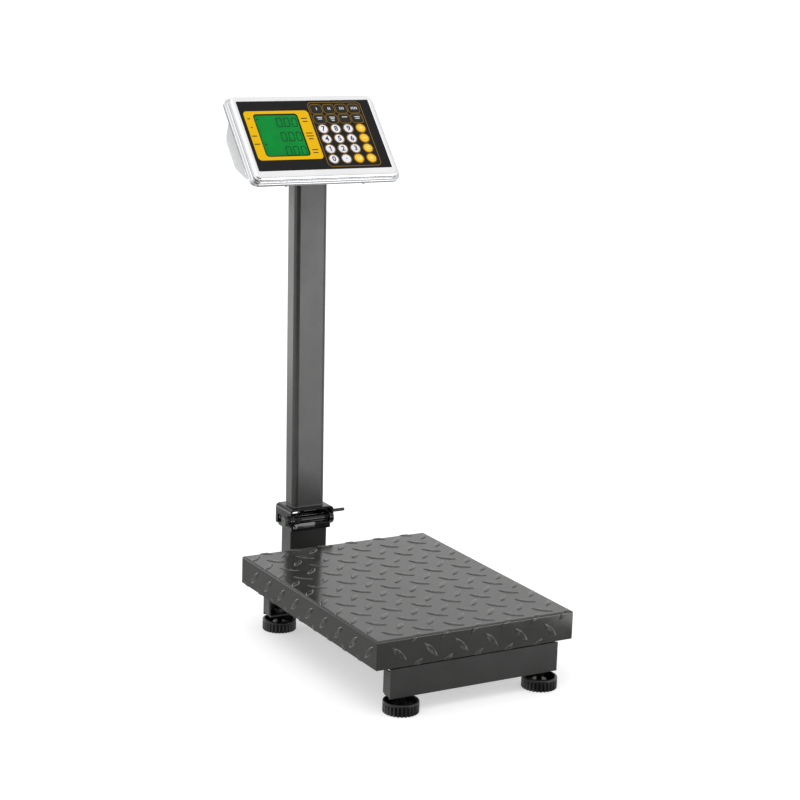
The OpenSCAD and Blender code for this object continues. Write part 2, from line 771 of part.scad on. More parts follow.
// Snap-in rocker switch on the shell's right side.
module power_switch_body() color([0.05, 0.05, 0.05])
    on_face() translate([shell_x, switch_v, switch_w]) difference() {
        union() {
            translate([0.8, 0, 0]) cube([1.6, 21, 15], center = true);
            translate([-6, 0, 0]) cube([12.01, 18.8, 12.8], center = true);
        }
        cube([10, 16.6, 10], center = true);
    }

// Rocker with two pads at a shallow angle, pressed in at its lower end.
module power_rocker() color([0.6, 0.05, 0.05]) on_face() translate([shell_x - 0.5, switch_v, switch_w])
    rotate([0, 0, rocker_tilt]) translate([-1.2, 0, -4.6]) linear_extrude(9.2)
        polygon([[-1.5, -7.6], [3.4, -7.6], [2.2, 0], [3.4, 7.6], [-1.5, 7.6]]);

// Charging socket with its centre pin, below the switch.
module charge_jack() color([0.08, 0.08, 0.08])
    on_face() translate([shell_x, jack_v, switch_w]) rotate([0, 90, 0]) difference() {
        depth = 12;
        union() {
            cylinder(r = jack_r + 1.5, h = 1.5);
            translate([0, 0, -depth]) cylinder(r = jack_r, h = depth + eps);
        }
        difference() {
            translate([0, 0, 3 - depth]) cylinder(r = 2.9, h = depth);
            translate([0, 0, 2 - depth]) cylinder(r = 0.9, h = depth - 1);
        }
    }

// ---------- keys ----------

function key_x(c) = key_x0 + key_px * (c - 1);
function key_v(r) = key_v0 - key_py * (r - 1);

// Body of a key at its own centre: rounded oblong in the top two rows, round below; grow widens it.
module key_outline(r, grow, h) {
    if (r <= 2) rblock(16.4 + 2 * grow, 14 + 2 * grow, 4 + grow, 0, h);
    else cylinder(r = 7 + grow, h = h);
}

// Black function keys, white numerals, and yellow command keys.
function key_colour(r, c) =
    r <= 2 ? [0.07, 0.07, 0.07] : (c == 4 || (r == 6 && c == 3)) ? [0.95, 0.68, 0.05] : [0.92, 0.92, 0.92];

// Key with a flange under the panel and a stem over the circuit board's contact.
module key(r, c) color(key_colour(r, c)) on_face() translate([key_x(c), key_v(r), 0]) {
    flange_w = -panel_t - 0.4;
    flange_t = 0.8;
    translate([0, 0, flange_w - eps]) key_outline(r, 0, key_cap - flange_w + eps);
    translate([0, 0, flange_w - flange_t]) key_outline(r, 1, flange_t);
    translate([0, 0, board_w0 + contact_h + key_travel + 0.3]) cylinder(r = 2.5, h = 4.2);
}

base_front_channel();
base_rear_channel();
base_spine();
spine_end_plug();
column_stub();
lower_hinge_bracket();
overload_stops();
load_cell();
load_cell_hardware();
platform_frame();
platform_pads();
platform_pan();
foot_front_left();
foot_front_right();
foot_rear_left();
foot_rear_right();
foot_lock_nuts();
hinge_bolt();
hinge_spacer_and_nut();
hinge_spring();
latch_rod();
upper_hinge_bracket();
mast_tube();
neck_fork();
head_bracket();
tilt_bolt_set();
head_bezel();
head_shell();
overlay_panel();
lcd_module();
circuit_board();
battery();
head_screws();
power_switch_body();
power_rocker();
charge_jack();
for (r = [1:6], c = [1:4]) key(r, c);
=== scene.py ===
import json
import math

import bmesh
import bpy
import numpy as np
from mathutils import Matrix, Vector
from mathutils.geometry import delaunay_2d_cdt


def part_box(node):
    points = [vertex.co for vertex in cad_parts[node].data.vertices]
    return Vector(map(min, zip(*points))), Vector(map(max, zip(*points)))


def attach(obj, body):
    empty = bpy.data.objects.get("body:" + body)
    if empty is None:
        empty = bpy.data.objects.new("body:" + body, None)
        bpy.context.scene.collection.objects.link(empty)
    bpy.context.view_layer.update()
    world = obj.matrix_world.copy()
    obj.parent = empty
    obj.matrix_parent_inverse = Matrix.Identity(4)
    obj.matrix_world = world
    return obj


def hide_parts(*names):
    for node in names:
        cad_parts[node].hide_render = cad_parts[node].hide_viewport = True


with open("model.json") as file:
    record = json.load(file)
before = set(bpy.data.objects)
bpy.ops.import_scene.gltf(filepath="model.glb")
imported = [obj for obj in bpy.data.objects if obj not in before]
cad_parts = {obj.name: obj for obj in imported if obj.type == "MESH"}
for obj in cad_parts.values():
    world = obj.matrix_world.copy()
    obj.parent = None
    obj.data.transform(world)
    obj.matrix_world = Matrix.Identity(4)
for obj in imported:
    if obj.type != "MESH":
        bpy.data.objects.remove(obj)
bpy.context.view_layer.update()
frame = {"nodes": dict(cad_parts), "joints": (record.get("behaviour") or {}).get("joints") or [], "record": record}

# Lengths below are millimetres in the row frame unless a name says otherwise.
MM = 0.001
JOINTS = {j["name"]: j for j in frame["joints"]}
BODY_OF = {n: b for b, ns in frame["record"]["behaviour"]["bodies"].items() for n in ns}


def box_mm(node):
    """Lowest and highest corner of a CAD node, in millimetres."""
    low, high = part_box(node)
    return np.array(low) / MM, np.array(high) / MM


# ---------- materials ----------

def srgb(*channels):
    """Linear colour of an 8-bit sRGB one."""
    shares = [c / 255 for c in channels]
    return tuple(c / 12.92 if c <= 0.04045 else ((c + 0.055) / 1.055) ** 2.4 for c in shares)


NOISE_DETAIL = 3.0
NOISE_RANGE = (0.3, 0.7)
# Patch size and range for the wear on the pan's lugs and for the painted shade on the bezel's skirt.
WEAR_AND_SHADE_PATCH = 6.0
WEAR_AND_SHADE_RANGE = (0.45, 0.75)


class Finish:
    """A Principled material whose colour, roughness and relief come from object-space noise."""

    def __init__(self, name, colour, rough, metal=0.0, specular=0.5):
        self.name = name
        self.mat = bpy.data.materials.new(name)
        self.mat.use_nodes = True
        self.nodes = self.mat.node_tree.nodes
        self.links = self.mat.node_tree.links
        self.shader = self.nodes["Principled BSDF"]
        self.colour = colour
        values = {
            "Base Color": (*colour, 1), "Roughness": rough, "Metallic": metal,
            "Specular IOR Level": specular,
        }
        for socket, value in values.items():
            self.shader.inputs[socket].default_value = value
        self.place = self.nodes.new("ShaderNodeTexCoord").outputs["Object"]
        self.height = None

    def noise(self, size, stretch=(1, 1, 1)):
        """Noise with blobs about size millimetres across, longer where stretch is above 1."""
        mapping = self.nodes.new("ShaderNodeMapping")
        mapping.inputs["Scale"].default_value = [1 / s for s in stretch]
        texture = self.nodes.new("ShaderNodeTexNoise")
        texture.inputs["Scale"].default_value = 1 / (size * MM)
        texture.inputs["Detail"].default_value = NOISE_DETAIL
        self.links.new(self.place, mapping.inputs["Vector"])
        self.links.new(mapping.outputs["Vector"], texture.inputs["Vector"])
        return texture.outputs["Fac"]

    def spread(self, value, low, high, span=NOISE_RANGE):
        """value within the span, mapped onto low to high."""
        node = self.nodes.new("ShaderNodeMapRange")
        sockets = ("From Min", "From Max", "To Min", "To Max")
        for socket, number in zip(sockets, (*span, low, high)):
            node.inputs[socket].default_value = number
        self.links.new(value, node.inputs["Value"])
        return node.outputs["Result"]

    def mix(self, factor, a, b):
        """Colour a where factor is 0 and b where it is 1; each is a colour or a node's output."""
        node = self.nodes.new("ShaderNodeMix")
        node.data_type = "RGBA"
        self.links.new(factor, node.inputs[0])
        for socket, value in ((node.inputs[6], a), (node.inputs[7], b)):
            if isinstance(value, tuple):
                socket.default_value = (*value, 1)
            else:
                self.links.new(value, socket)
        return node.outputs[2]

    def mottled(self, size, darker, lighter):
        """Base colour drifts between two multiples of the finish's own colour."""
        low, high = (tuple(c * k for c in self.colour) for k in (darker, lighter))
        drift = self.mix(self.spread(self.noise(size), 0, 1), low, high)
        self.links.new(drift, self.shader.inputs["Base Color"])
        return self

    def uneven(self, size, low, high, stretch=(1, 1, 1)):
        """Roughness drifts from low to high."""
        drift = self.spread(self.noise(size, stretch), low, high)
        self.links.new(drift, self.shader.inputs["Roughness"])
        return self

    def grain(self, size, depth):
        """Relief of about depth millimetres; further calls add to it."""
        bump = self.nodes.new("ShaderNodeBump")
        bump.inputs["Strength"].default_value = 1.0
        bump.inputs["Distance"].default_value = depth * MM
        self.links.new(self.noise(size), bump.inputs["Height"])
        if self.height is not None:
            self.links.new(self.height, bump.inputs["Normal"])
        self.height = bump.outputs["Normal"]
        self.links.new(self.height, self.shader.inputs["Normal"])
        return self

    def wear_and_shade(self, attribute, colour, least=0.0):
        """Mixes in another colour by least to 1, in patches, where the attribute is 1: real wear on the pan's
        lugs, and painted shade on the bezel's skirt.
        """
        source = self.nodes.new("ShaderNodeAttribute")
        source.attribute_name = attribute
        patchy = self.nodes.new("ShaderNodeMath")
        patchy.operation = "MULTIPLY"
        self.links.new(source.outputs["Fac"], patchy.inputs[0])
        patches = self.spread(self.noise(WEAR_AND_SHADE_PATCH), least, 1, WEAR_AND_SHADE_RANGE)
        self.links.new(patches, patchy.inputs[1])
        old = self.shader.inputs["Base Color"].links[0].from_socket
        mixed = self.mix(patchy.outputs[0], old, colour)
        self.links.new(mixed, self.shader.inputs["Base Color"])
        return self


def painted_steel(name, colour, low, high, specular=0.4):
    """Semi-gloss charcoal powder coat."""
    made = Finish(name, colour, low, specular=specular).mottled(45, 0.86, 1.14)
    return made.uneven(30, low, high).grain(1.1, 0.012).grain(9, 0.03)


def moulded(name, colour, rough, depth=0.015, specular=0.5, drift=0.06):
    """Moulded plastic or rubber with a fine spark-eroded grain."""
    made = Finish(name, colour, rough, specular=specular).mottled(18, 1 - drift, 1 + drift)
    return made.uneven(8, rough * 0.9, rough * 1.1).grain(0.5, depth)


def plated(name, colour, low, high):
    """Zinc-plated or bright steel."""
    made = Finish(name, colour, low, metal=1.0)
    return made.mottled(3, 0.85, 1.1).uneven(2.5, low, high).grain(0.8, 0.006)


def printed(name, colour):
    """Screen-printed ink on the panel film."""
    made = Finish(name, colour, 0.32, specular=0.08)
    return made.mottled(2, 0.97, 1.03).uneven(3, 0.28, 0.36)


FINISHES = {made.name: made for made in (
    painted_steel("painted_steel", srgb(43, 44, 42), 0.34, 0.44),
    painted_steel("mast_steel", srgb(44, 45, 43), 0.2, 0.27, 0.5),
    painted_steel("pan_steel", srgb(40, 40, 38), 0.13, 0.2, 0.6).wear_and_shade("lug", srgb(84, 84, 82)),
    painted_steel("bracket_black", srgb(14, 14, 14), 0.12, 0.2, 0.5),
    plated("zinc", srgb(98, 102, 93), 0.26, 0.4),
    plated("spring_steel", srgb(70, 70, 68), 0.25, 0.4),
    plated("cell_aluminium", srgb(205, 207, 210), 0.28, 0.4),
    moulded("rubber_black", srgb(26, 26, 26), 0.7, 0.03),
    moulded("foot_rubber", srgb(16, 16, 16), 0.32, 0.01),
    moulded("plug_plastic", srgb(24, 24, 24), 0.5),
    moulded("shell_plastic", srgb(186, 187, 188), 0.36, 0.008, drift=0.015),
    moulded("battery_case", srgb(42, 42, 46), 0.5),
    moulded("switch_black", srgb(18, 18, 18), 0.38),
    moulded("rocker_red", srgb(170, 18, 16), 0.28, 0.004),
    moulded("key_black", srgb(26, 25, 26), 0.34, 0.006, 0.2),
    moulded("key_white", srgb(222, 222, 230), 0.3, 0.006),
    moulded("key_yellow", srgb(240, 182, 20), 0.3, 0.006, 0.3),
    # The bezel's skirt is painted greyer: painted shade and reflection on the steel behind the front ring.
    Finish("bezel_steel", srgb(232, 232, 233), 0.16, metal=1.0)
    .mottled(60, 0.94, 1.0).uneven(14, 0.14, 0.24, (6, 1, 1)).grain(5, 0.006)
    .wear_and_shade("skirt", srgb(196, 197, 199), 0.8),
    Finish("panel_black", srgb(20, 19, 20), 0.26, specular=0.12)
    .mottled(10, 0.9, 1.1).uneven(6, 0.21, 0.28).grain(0.35, 0.004),
    Finish("lcd", srgb(0, 128, 48), 0.25, specular=0.08)
    .mottled(40, 0.8, 1.15).uneven(20, 0.24, 0.34),
    Finish("board", srgb(20, 84, 40), 0.35)
    .mottled(4, 0.85, 1.15).uneven(5, 0.3, 0.42).grain(1.5, 0.02),
)}
PRINTS = {
    "yellow": printed("ink_yellow", srgb(222, 174, 2)),
    "gold": printed("ink_gold", srgb(150, 114, 30)),
    "black": printed("ink_black", srgb(22, 20, 24)),
    "white": printed("ink_white", srgb(214, 214, 214)),
    "segment": printed("lcd_segment", srgb(0, 66, 34)),
    "cream": printed("ink_cream", srgb(255, 226, 140)),
}


# ---------- mesh helpers ----------

def bare_mesh(name, points, faces):
    """A mesh object without a material, from points in millimetres."""
    mesh = bpy.data.meshes.new(name)
    mesh.from_pydata([tuple(float(c) * MM for c in p) for p in points], [], faces)
    made = bpy.data.objects.new(name, mesh)
    bpy.context.scene.collection.objects.link(made)
    return made


def piece(name, points, faces, body, finish, slot=None, replaces=(), auto_smooth=35):
    """A mesh object from points in millimetres, smooth across edges under auto_smooth degrees."""
    made = bare_mesh(name, points, faces)
    made.data.validate()
    made.data.materials.append(finish.mat)
    soften(made, auto_smooth)
    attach(made, body)
    if replaces:
        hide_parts(*replaces)
    return made


def soften(obj, degrees):
    """Smooth shading with sharp edges above that angle."""
    mesh = obj.data
    mesh.shade_smooth()
    mesh.set_sharp_from_angle(angle=math.radians(degrees))


def mark_points(obj, name, values):
    """Stores a number per point for the finish to read."""
    attribute = obj.data.attributes.new(name, "FLOAT", "POINT")
    attribute.data.foreach_set("value", np.array(values, np.float32))


def rounded_rect(width, height, radius, steps=8, centre=(0, 0)):
    """Outline of a rectangle with round corners, counter-clockwise."""
    points = []
    for sx, sy, start in ((1, 1, 0), (-1, 1, 90), (-1, -1, 180), (1, -1, 270)):
        cx = sx * (width / 2 - radius) + centre[0]
        cy = sy * (height / 2 - radius) + centre[1]
        for i in range(steps + 1):
            a = math.radians(start + 90 * i / steps)
            points.append((cx + radius * math.cos(a), cy + radius * math.sin(a)))
    return points


def circle(radius, steps=40, centre=(0, 0)):
    x, y = centre
    turns = [2 * math.pi * i / steps for i in range(steps)]
    return [(x + radius * math.cos(a), y + radius * math.sin(a)) for a in turns]


def loft(loops, closed=False):
    """Points and faces through equal loops, with capped ends unless the loft is closed."""
    count = len(loops[0])
    points = [p for loop in loops for p in loop]
    rows = len(loops)
    faces = []
    for k in range(rows if closed else rows - 1):
        a, b = k * count, (k + 1) % rows * count
        faces += [(a + i, a + (i + 1) % count, b + (i + 1) % count, b + i) for i in range(count)]
    if not closed:
        faces.append(tuple(range(count))[::-1])
        faces.append(tuple((rows - 1) * count + i for i in range(count)))
    return points, faces


def join(*parts):
    """Several (points, faces) as one."""
    points, faces = [], []
    for more_points, more_faces in parts:
        shift = len(points)
        points += list(more_points)
        faces += [tuple(i + shift for i in f) for f in more_faces]
    return points, faces


def placed(part, place):
    return [place(*p) for p in part[0]], part[1]


def within(outlines, spots):
    """True for each spot that lies inside the first outline and outside the others."""
    x, y = spots[:, :1], spots[:, 1:]
    crossings = np.zeros(len(spots), int)
    for outline in outlines:
        a = np.array(outline)
        b = np.roll(a, -1, axis=0)
        rise = b[:, 1] - a[:, 1]
        spans = (a[:, 1] > y) != (b[:, 1] > y)
        run = (b[:, 0] - a[:, 0]) / np.where(rise == 0, 1, rise)
        reach = a[:, 0] + (y - a[:, 1]) * run
        crossings += (spans & (x < reach)).sum(axis=1)
    return crossings % 2 == 1


# Output type of delaunay_2d_cdt: only the triangles inside the outlines.
TRIANGLES_INSIDE = 1


def upward(flat, triangle):
    """The triangle with its corners counter-clockwise."""
    a, b, c = triangle
    return (a, b, c) if (flat[b] - flat[a]).cross(flat[c] - flat[a]) >= 0 else (a, c, b)


def rim_edges(triangles):
    """Edges that only one of the triangles uses, in its direction."""
    used = dict.fromkeys(e for a, b, c in triangles for e in ((a, b), (b, c), (c, a)))
    return [(a, b) for a, b in used if (b, a) not in used]


def plate(outlines, low, high):
    """Flat plate from low to high: the first outline is its rim, and the others are holes in it."""
    flat = [p for outline in outlines for p in outline]
    edges, first = [], 0
    for outline in outlines:
        edges += [(first + i, first + (i + 1) % len(outline)) for i in range(len(outline))]
        first += len(outline)
    found = delaunay_2d_cdt([Vector(p) for p in flat], edges, [], TRIANGLES_INSIDE, 1e-5)
    flat, triangles = found[0], found[2]
    middles = np.array([(flat[a] + flat[b] + flat[c]) / 3 for a, b, c in triangles])
    kept = within(outlines, middles)
    triangles = [upward(flat, t) for t, keep in zip(triangles, kept) if keep]
    count = len(flat)
    points = [(p.x, p.y, z) for z in (low, high) for p in flat]
    faces = []
    for a, b, c in triangles:
        faces += [(a + count, b + count, c + count), (c, b, a)]
    faces += [(a, b, b + count, a + count) for a, b in rim_edges(triangles)]
    return points, faces


def tube(path, radius, sides=12):
    """Round wire along a path, with flat ends."""
    path = [Vector(p) for p in path]
    loops = []
    side = None
    for i, p in enumerate(path):
        ahead = (path[min(i + 1, len(path) - 1)] - path[max(i - 1, 0)]).normalized()
        side = ahead.orthogonal() if side is None else side - ahead * side.dot(ahead)
        side.normalize()
        other = ahead.cross(side)
        loops.append([p + a * side + b * other for a, b in circle(radius, sides)])
    return loft(loops)


def lathe(profile, sides, wave):
    """Solid of revolution about Z; wave gives the radius from angle, radius and share."""
    loops = []
    for radius, height, share in profile:
        loop = []
        for i in range(sides):
            a = 2 * math.pi * i / sides
            r = wave(a, radius, share)
            loop.append((r * math.cos(a), r * math.sin(a), height))
        loops.append(loop)
    return loft(loops)


def weighted(obj):
    """Normals that follow the larger faces, so that flats stay flat beside small rounds."""
    mod = obj.modifiers.new("weighted", "WEIGHTED_NORMAL")
    mod.keep_sharp = True
    mod.weight = 80


# ---------- CAD nodes that stay, with softened edges ----------

EDGE_MM = {
    "base_front_channel": 0.7, "base_rear_channel": 0.7, "base_spine": 0.9, "spine_end_plug": 0.5,
    "column_stub": 1.2, "lower_hinge_bracket": 0.5, "upper_hinge_bracket": 0.5,
    "platform_frame": 0.6, "platform_pads": 0.5, "load_cell": 0.5, "neck_fork": 0.4, "head_bracket": 0.4,
    "battery": 1.0, "circuit_board": 0.2, "power_switch_body": 0.3, "power_rocker": 0.4,
    "charge_jack": 0.2, "overload_stops": 0.3, "load_cell_hardware": 0.3, "foot_lock_nuts": 0.4,
    "hinge_bolt": 0.45, "hinge_spacer_and_nut": 0.35, "tilt_bolt_set": 0.3, "head_screws": 0.3,
    "latch_rod": 0.3, "lcd_module": 0.3,
}
WELD_M = 1e-6
FLAT_DEGREES = 0.5
EDGE_DEGREES = 35
SLOTS = {s["node"]: s["material_slot"] for s in frame["record"]["subparts"]}
# The head's screws are brighter than the rest of the zinc parts.
BRIGHT = {"head_screws": "bezel_steel"}


def dress(node, edge):
    """Gives a CAD node its finish, merges its flat triangles and rounds its edges."""
    obj = frame["nodes"][node]
    obj.data.materials.clear()
    obj.data.materials.append(FINISHES[BRIGHT.get(node, SLOTS[node])].mat)
    obj.data.shade_smooth()
    weld = obj.modifiers.new("weld", "WELD")
    weld.merge_threshold = WELD_M
    flat = obj.modifiers.new("flat", "DECIMATE")
    flat.decimate_type = "DISSOLVE"
    flat.angle_limit = math.radians(FLAT_DEGREES)
    bevel = obj.modifiers.new("edge", "BEVEL")
    bevel.width = edge * MM
    bevel.segments = 3
    bevel.limit_method = "ANGLE"
    bevel.angle_limit = math.radians(EDGE_DEGREES)
    bevel.harden_normals = False
    weighted(obj)


# ---------- platform pan ----------

# Lugs are lens shapes in two lattices, one leaning each way.
LUG_HALF_LENGTH = 15.0
LUG_HALF_WIDTH = 4.2
LUG_HEIGHT = 1.1
LUG_RADIUS = (LUG_HALF_LENGTH**2 + LUG_HALF_WIDTH**2) / (2 * LUG_HALF_WIDTH)
LUG_STEPS = 12
LUG_RINGS = (1.02, 0.97, 0.91, 0.83, 0.7)
LUG_PITCH = (45.8, 41.9)
LUG_LATTICES = ((0.0, 1.5, 45), (21.5, 21.5, -45))
SIDE_SKIRT_SHIFT = 8.0
PAN_BEND = 4.0
PAN_SHEET = 2.0
PAN_SEAM = 0.3
BEND_STEPS = 7
LUG_TO_SEAM = 1.2
LUG_ON_SHEET = 1.0


def lens(scale, turn, centre):
    """Outline of a lug at a scale, turned by so many degrees about its centre."""
    radius = LUG_RADIUS
    half = math.asin(LUG_HALF_LENGTH / radius)
    cos_t, sin_t = math.cos(math.radians(turn)), math.sin(math.radians(turn))
    points = []
    for side in (1, -1):
        for i in range(LUG_STEPS):
            a = side * half * (1 - 2 * i / LUG_STEPS)
            p = scale * radius * math.sin(a)
            q = scale * side * (radius * math.cos(a) - radius + LUG_HALF_WIDTH)
            points.append((centre[0] + p * cos_t - q * sin_t, centre[1] + p * sin_t + q * cos_t))
    return points


def lens_scale(point, turn, centre):
    """Scale of the lug's outline through a point: 0 in the middle, 1 at its foot."""
    long = LUG_HALF_LENGTH
    dx, dy = point[0] - centre[0], point[1] - centre[1]
    cos_t, sin_t = math.cos(math.radians(turn)), math.sin(math.radians(turn))
    p, q = dx * cos_t + dy * sin_t, abs(dy * cos_t - dx * sin_t)
    b = q * (LUG_RADIUS - LUG_HALF_WIDTH)
    return (b + math.sqrt(b * b + long**2 * (p * p + q * q))) / long**2


class Pan:
    """Checker sheet, cut flat as a cross and folded down on four sides with mitred corners."""

    def __init__(self, low, high):
        self.half_w = (high[0] - low[0]) / 2
        self.y0, self.y1 = low[1] + PAN_BEND, high[1] - PAN_BEND
        self.x0 = self.half_w - PAN_BEND
        self.front = low[1]
        self.top, self.bottom = high[2], low[2]
        self.arc = PAN_BEND * math.pi / 2
        self.reach = self.arc + self.top - PAN_BEND - self.bottom

    def past(self, u, v):
        """How far a flat point lies beyond the side folds and the front or rear folds."""
        return abs(u) - self.x0, max(self.y0 - v, v - self.y1)

    def mitre(self, s):
        """Half-width that a flap gains s past its fold, short of the corner by half a seam."""
        s = min(s, self.arc)
        return PAN_BEND * math.sin(s / PAN_BEND) - PAN_SEAM * s / self.arc

    def corner(self, sx, sy):
        """Outline of the flat sheet round one corner, counter-clockwise."""
        fold_y = self.y0 if sy < 0 else self.y1
        steps = [self.arc * k / BEND_STEPS for k in range(BEND_STEPS + 1)] + [self.reach]
        y_flap = [(sx * (self.x0 + self.mitre(s)), fold_y + sy * s) for s in steps]
        x_flap = [(sx * (self.x0 + s), fold_y + sy * self.mitre(s)) for s in steps]
        walk = y_flap[::-1] + x_flap[1:]
        return walk if sx * sy < 0 else walk[::-1]

    def outline(self):
        return [p for sx, sy in ((1, -1), (1, 1), (-1, 1), (-1, -1)) for p in self.corner(sx, sy)]

    def bend_lines(self):
        """Lines across the sheet where its curvature is stepped."""
        lines = []
        for k in range(BEND_STEPS + 1):
            s = self.arc * k / BEND_STEPS
            w = self.mitre(s)
            for y in (self.y0 - s, self.y1 + s):
                lines.append(((-self.x0 - w, y), (self.x0 + w, y)))
            for x in (self.x0 + s, -self.x0 - s):
                lines.append(((x, self.y0 - w), (x, self.y1 + w)))
        return lines

    def lugs(self):
        """(centre, turn) of each lug that fits clear of the corner seams."""
        kept = []
        for x_first, y_first, turn in LUG_LATTICES:
            for i in range(-6, 7):
                for j in range(-2, 12):
                    x = x_first + i * LUG_PITCH[0]
                    y = self.front + y_first + j * LUG_PITCH[1]
                    if abs(x) > self.half_w:
                        x += math.copysign(SIDE_SKIRT_SHIFT, x)
                    if self.clear(lens(LUG_RINGS[0], turn, (x, y))):
                        kept.append(((x, y), turn))
        return kept

    def clear(self, outline):
        """True if some of the lug is on the sheet and none of it is near a corner seam."""
        on_sheet = False
        for u, v in outline:
            ax, ay = self.past(u, v)
            if ay > 0 and ax > self.mitre(ay) - LUG_TO_SEAM:
                return False
            if ax > 0 and ay > self.mitre(ax) - LUG_TO_SEAM:
                return False
            on_sheet = on_sheet or max(ax, ay) < self.reach - LUG_ON_SHEET
        return on_sheet

    def fold(self, u, v, height):
        """Folds a flat point into its place; height is above the sheet's outer face."""
        ax, ay = self.past(u, v)
        r = PAN_BEND - LUG_HEIGHT + height
        grow = r / PAN_BEND
        sx, sy = math.copysign(1, u), (-1 if v < (self.y0 + self.y1) / 2 else 1)
        edge_y = self.y0 if sy < 0 else self.y1
        centre_z = self.top - PAN_BEND
        if ax <= 0 and ay <= 0:
            return u, v, centre_z + r
        s = max(ax, ay)
        a = min(s / PAN_BEND, math.pi / 2)
        out, z = r * math.sin(a), centre_z + r * math.cos(a) - max(s - self.arc, 0)
        if ay >= ax:
            return (sx * (self.x0 + ax * grow) if ax > 0 else u), edge_y + sy * out, z
        return sx * (self.x0 + out), (edge_y + sy * ay * grow if ay > 0 else v), z

    def flat_mesh(self):
        """Flat points and triangles whose edges follow the lugs, the bends and the outline."""
        points, edges = [], []

        def add(loop, closed=True):
            first = len(points)
            points.extend(Vector(p) for p in loop)
            count = len(loop)
            sides = count if closed else count - 1
            edges.extend((first + i, first + (i + 1) % count) for i in range(sides))

        add(self.outline())
        for line in self.bend_lines():
            add(line, closed=False)
        lugs = self.lugs()
        for centre, turn in lugs:
            for scale in LUG_RINGS:
                add(lens(scale, turn, centre))
        found = delaunay_2d_cdt(points, edges, [], TRIANGLES_INSIDE, 1e-4)
        flat, triangles = found[0], found[2]
        kept = []
        for a, b, c in triangles:
            ax, ay = self.past(*((flat[a] + flat[b] + flat[c]) / 3))
            inside = max(ax, ay) < self.reach - 1e-3
            inside = inside and not (ay > 0 and ay >= ax and ax > self.mitre(ay))
            inside = inside and not (ax > 0 and ax > ay and ay > self.mitre(ax))
            if inside:
                kept.append(upward(flat, (a, b, c)))
        return flat, kept, lugs

    def heights(self, flat, lugs):
        """Relief of each point, 0 to 1: steep at a lug's foot and level on its crown."""
        xy = np.array([(p.x, p.y) for p in flat])
        relief = np.zeros(len(flat))
        foot_scale, crown_scale = LUG_RINGS[0], LUG_RINGS[-1]
        for centre, turn in lugs:
            away = np.abs(xy - np.array(centre)).max(axis=1)
            for i in np.where(away < LUG_HALF_LENGTH * 1.1)[0]:
                s = lens_scale(xy[i], turn, centre)
                t = min(max((foot_scale - s) / (foot_scale - crown_scale), 0), 1)
                relief[i] = max(relief[i], 1 - (1 - t) ** 2)
        return relief

    def build(self):
        """The pan's piece, with its lugs marked for wear."""
        flat, triangles, lugs = self.flat_mesh()
        relief = self.heights(flat, lugs)
        count = len(flat)
        points = [self.fold(p.x, p.y, LUG_HEIGHT * relief[i]) for i, p in enumerate(flat)]
        points += [self.fold(p.x, p.y, -PAN_SHEET) for p in flat]
        faces = triangles + [(c + count, b + count, a + count) for a, b, c in triangles]
        faces += [(b, a, a + count, b + count) for a, b in rim_edges(triangles)]
        made = piece("checker_pan", points, faces, "pan", FINISHES["pan_steel"], "pan_steel",
                     ["platform_pan"])
        mark_points(made, "lug", np.concatenate([relief, np.zeros(count)]))
        return made


def close_seams(obj, gap=0.01):
    """Joins the points that meet at a folded piece's corners and drops unused ones."""
    mesh = bmesh.new()
    mesh.from_mesh(obj.data)
    bmesh.ops.remove_doubles(mesh, verts=mesh.verts, dist=gap * MM)
    loose = [v for v in mesh.verts if not v.link_faces]
    bmesh.ops.delete(mesh, geom=loose, context="VERTS")
    mesh.to_mesh(obj.data)
    mesh.free()


pan = Pan(*box_mm("platform_pan")).build()
close_seams(pan)
soften(pan, 40)
weighted(pan)


# ---------- mast ----------

MAST_SIZE = (52.0, 32.0)
MAST_CORNER = 8.0
MAST_WALL = 2.0
MAST_EDGE = 0.4
BEAD = 1.8
BEAD_STEPS = 8


def mast():
    """Tube that leans back from the hinge to the tilt joint, and its weld bead."""
    low, high = box_mm("mast_tube")
    width, depth = MAST_SIZE
    joint = Vector(JOINTS["head_tilt"]["pos_m"]) / MM
    lean = math.atan2(joint.y - low[1] - depth / 2, joint.z - low[2])
    length = (high[2] - low[2] - depth * math.sin(lean) / 2) / math.cos(lean)
    wall, edge = MAST_WALL, MAST_EDGE

    def ring(inset, z):
        """Outline square to the leaning axis, but level where z is 0."""
        points = []
        for x, y in rounded_rect(width - 2 * inset, depth - 2 * inset, MAST_CORNER - inset, 14):
            up = z + (y * math.tan(lean) if z < length / 2 else 0)
            points.append((x, low[1] + depth / 2 + y * math.cos(lean) + up * math.sin(lean),
                           low[2] - y * math.sin(lean) + up * math.cos(lean)))
        return points

    loops = [
        ring(wall, edge), ring(wall - edge, 0), ring(edge, 0), ring(0, edge),
        ring(0, length - edge), ring(edge, length), ring(wall - edge, length),
        ring(wall, length - edge),
    ]
    made = piece("mast_tube_rounded", *loft(loops, closed=True), "mast", FINISHES["mast_steel"],
                 "painted_steel", ["mast_tube"], auto_smooth=50)
    weighted(made)
    bead = [ring(0.2, 0.02)]
    for k in range(BEAD_STEPS + 1):
        a = math.pi / 2 * k / BEAD_STEPS
        bead.append(ring(-BEAD * (1 - math.sin(a)), BEAD * (1 - math.cos(a)) + 0.02))
    bead.append(ring(0.2, BEAD))
    piece("mast_weld_bead", *loft(bead, closed=True), "mast", FINISHES["mast_steel"],
          "painted_steel")


mast()


# ---------- levelling feet ----------

RIBS = 28
RIB_SAMPLES = 10
RIB_DEPTH = 2.0
GROOVE_HALF = 0.26
THREAD_DEPTH = 0.55
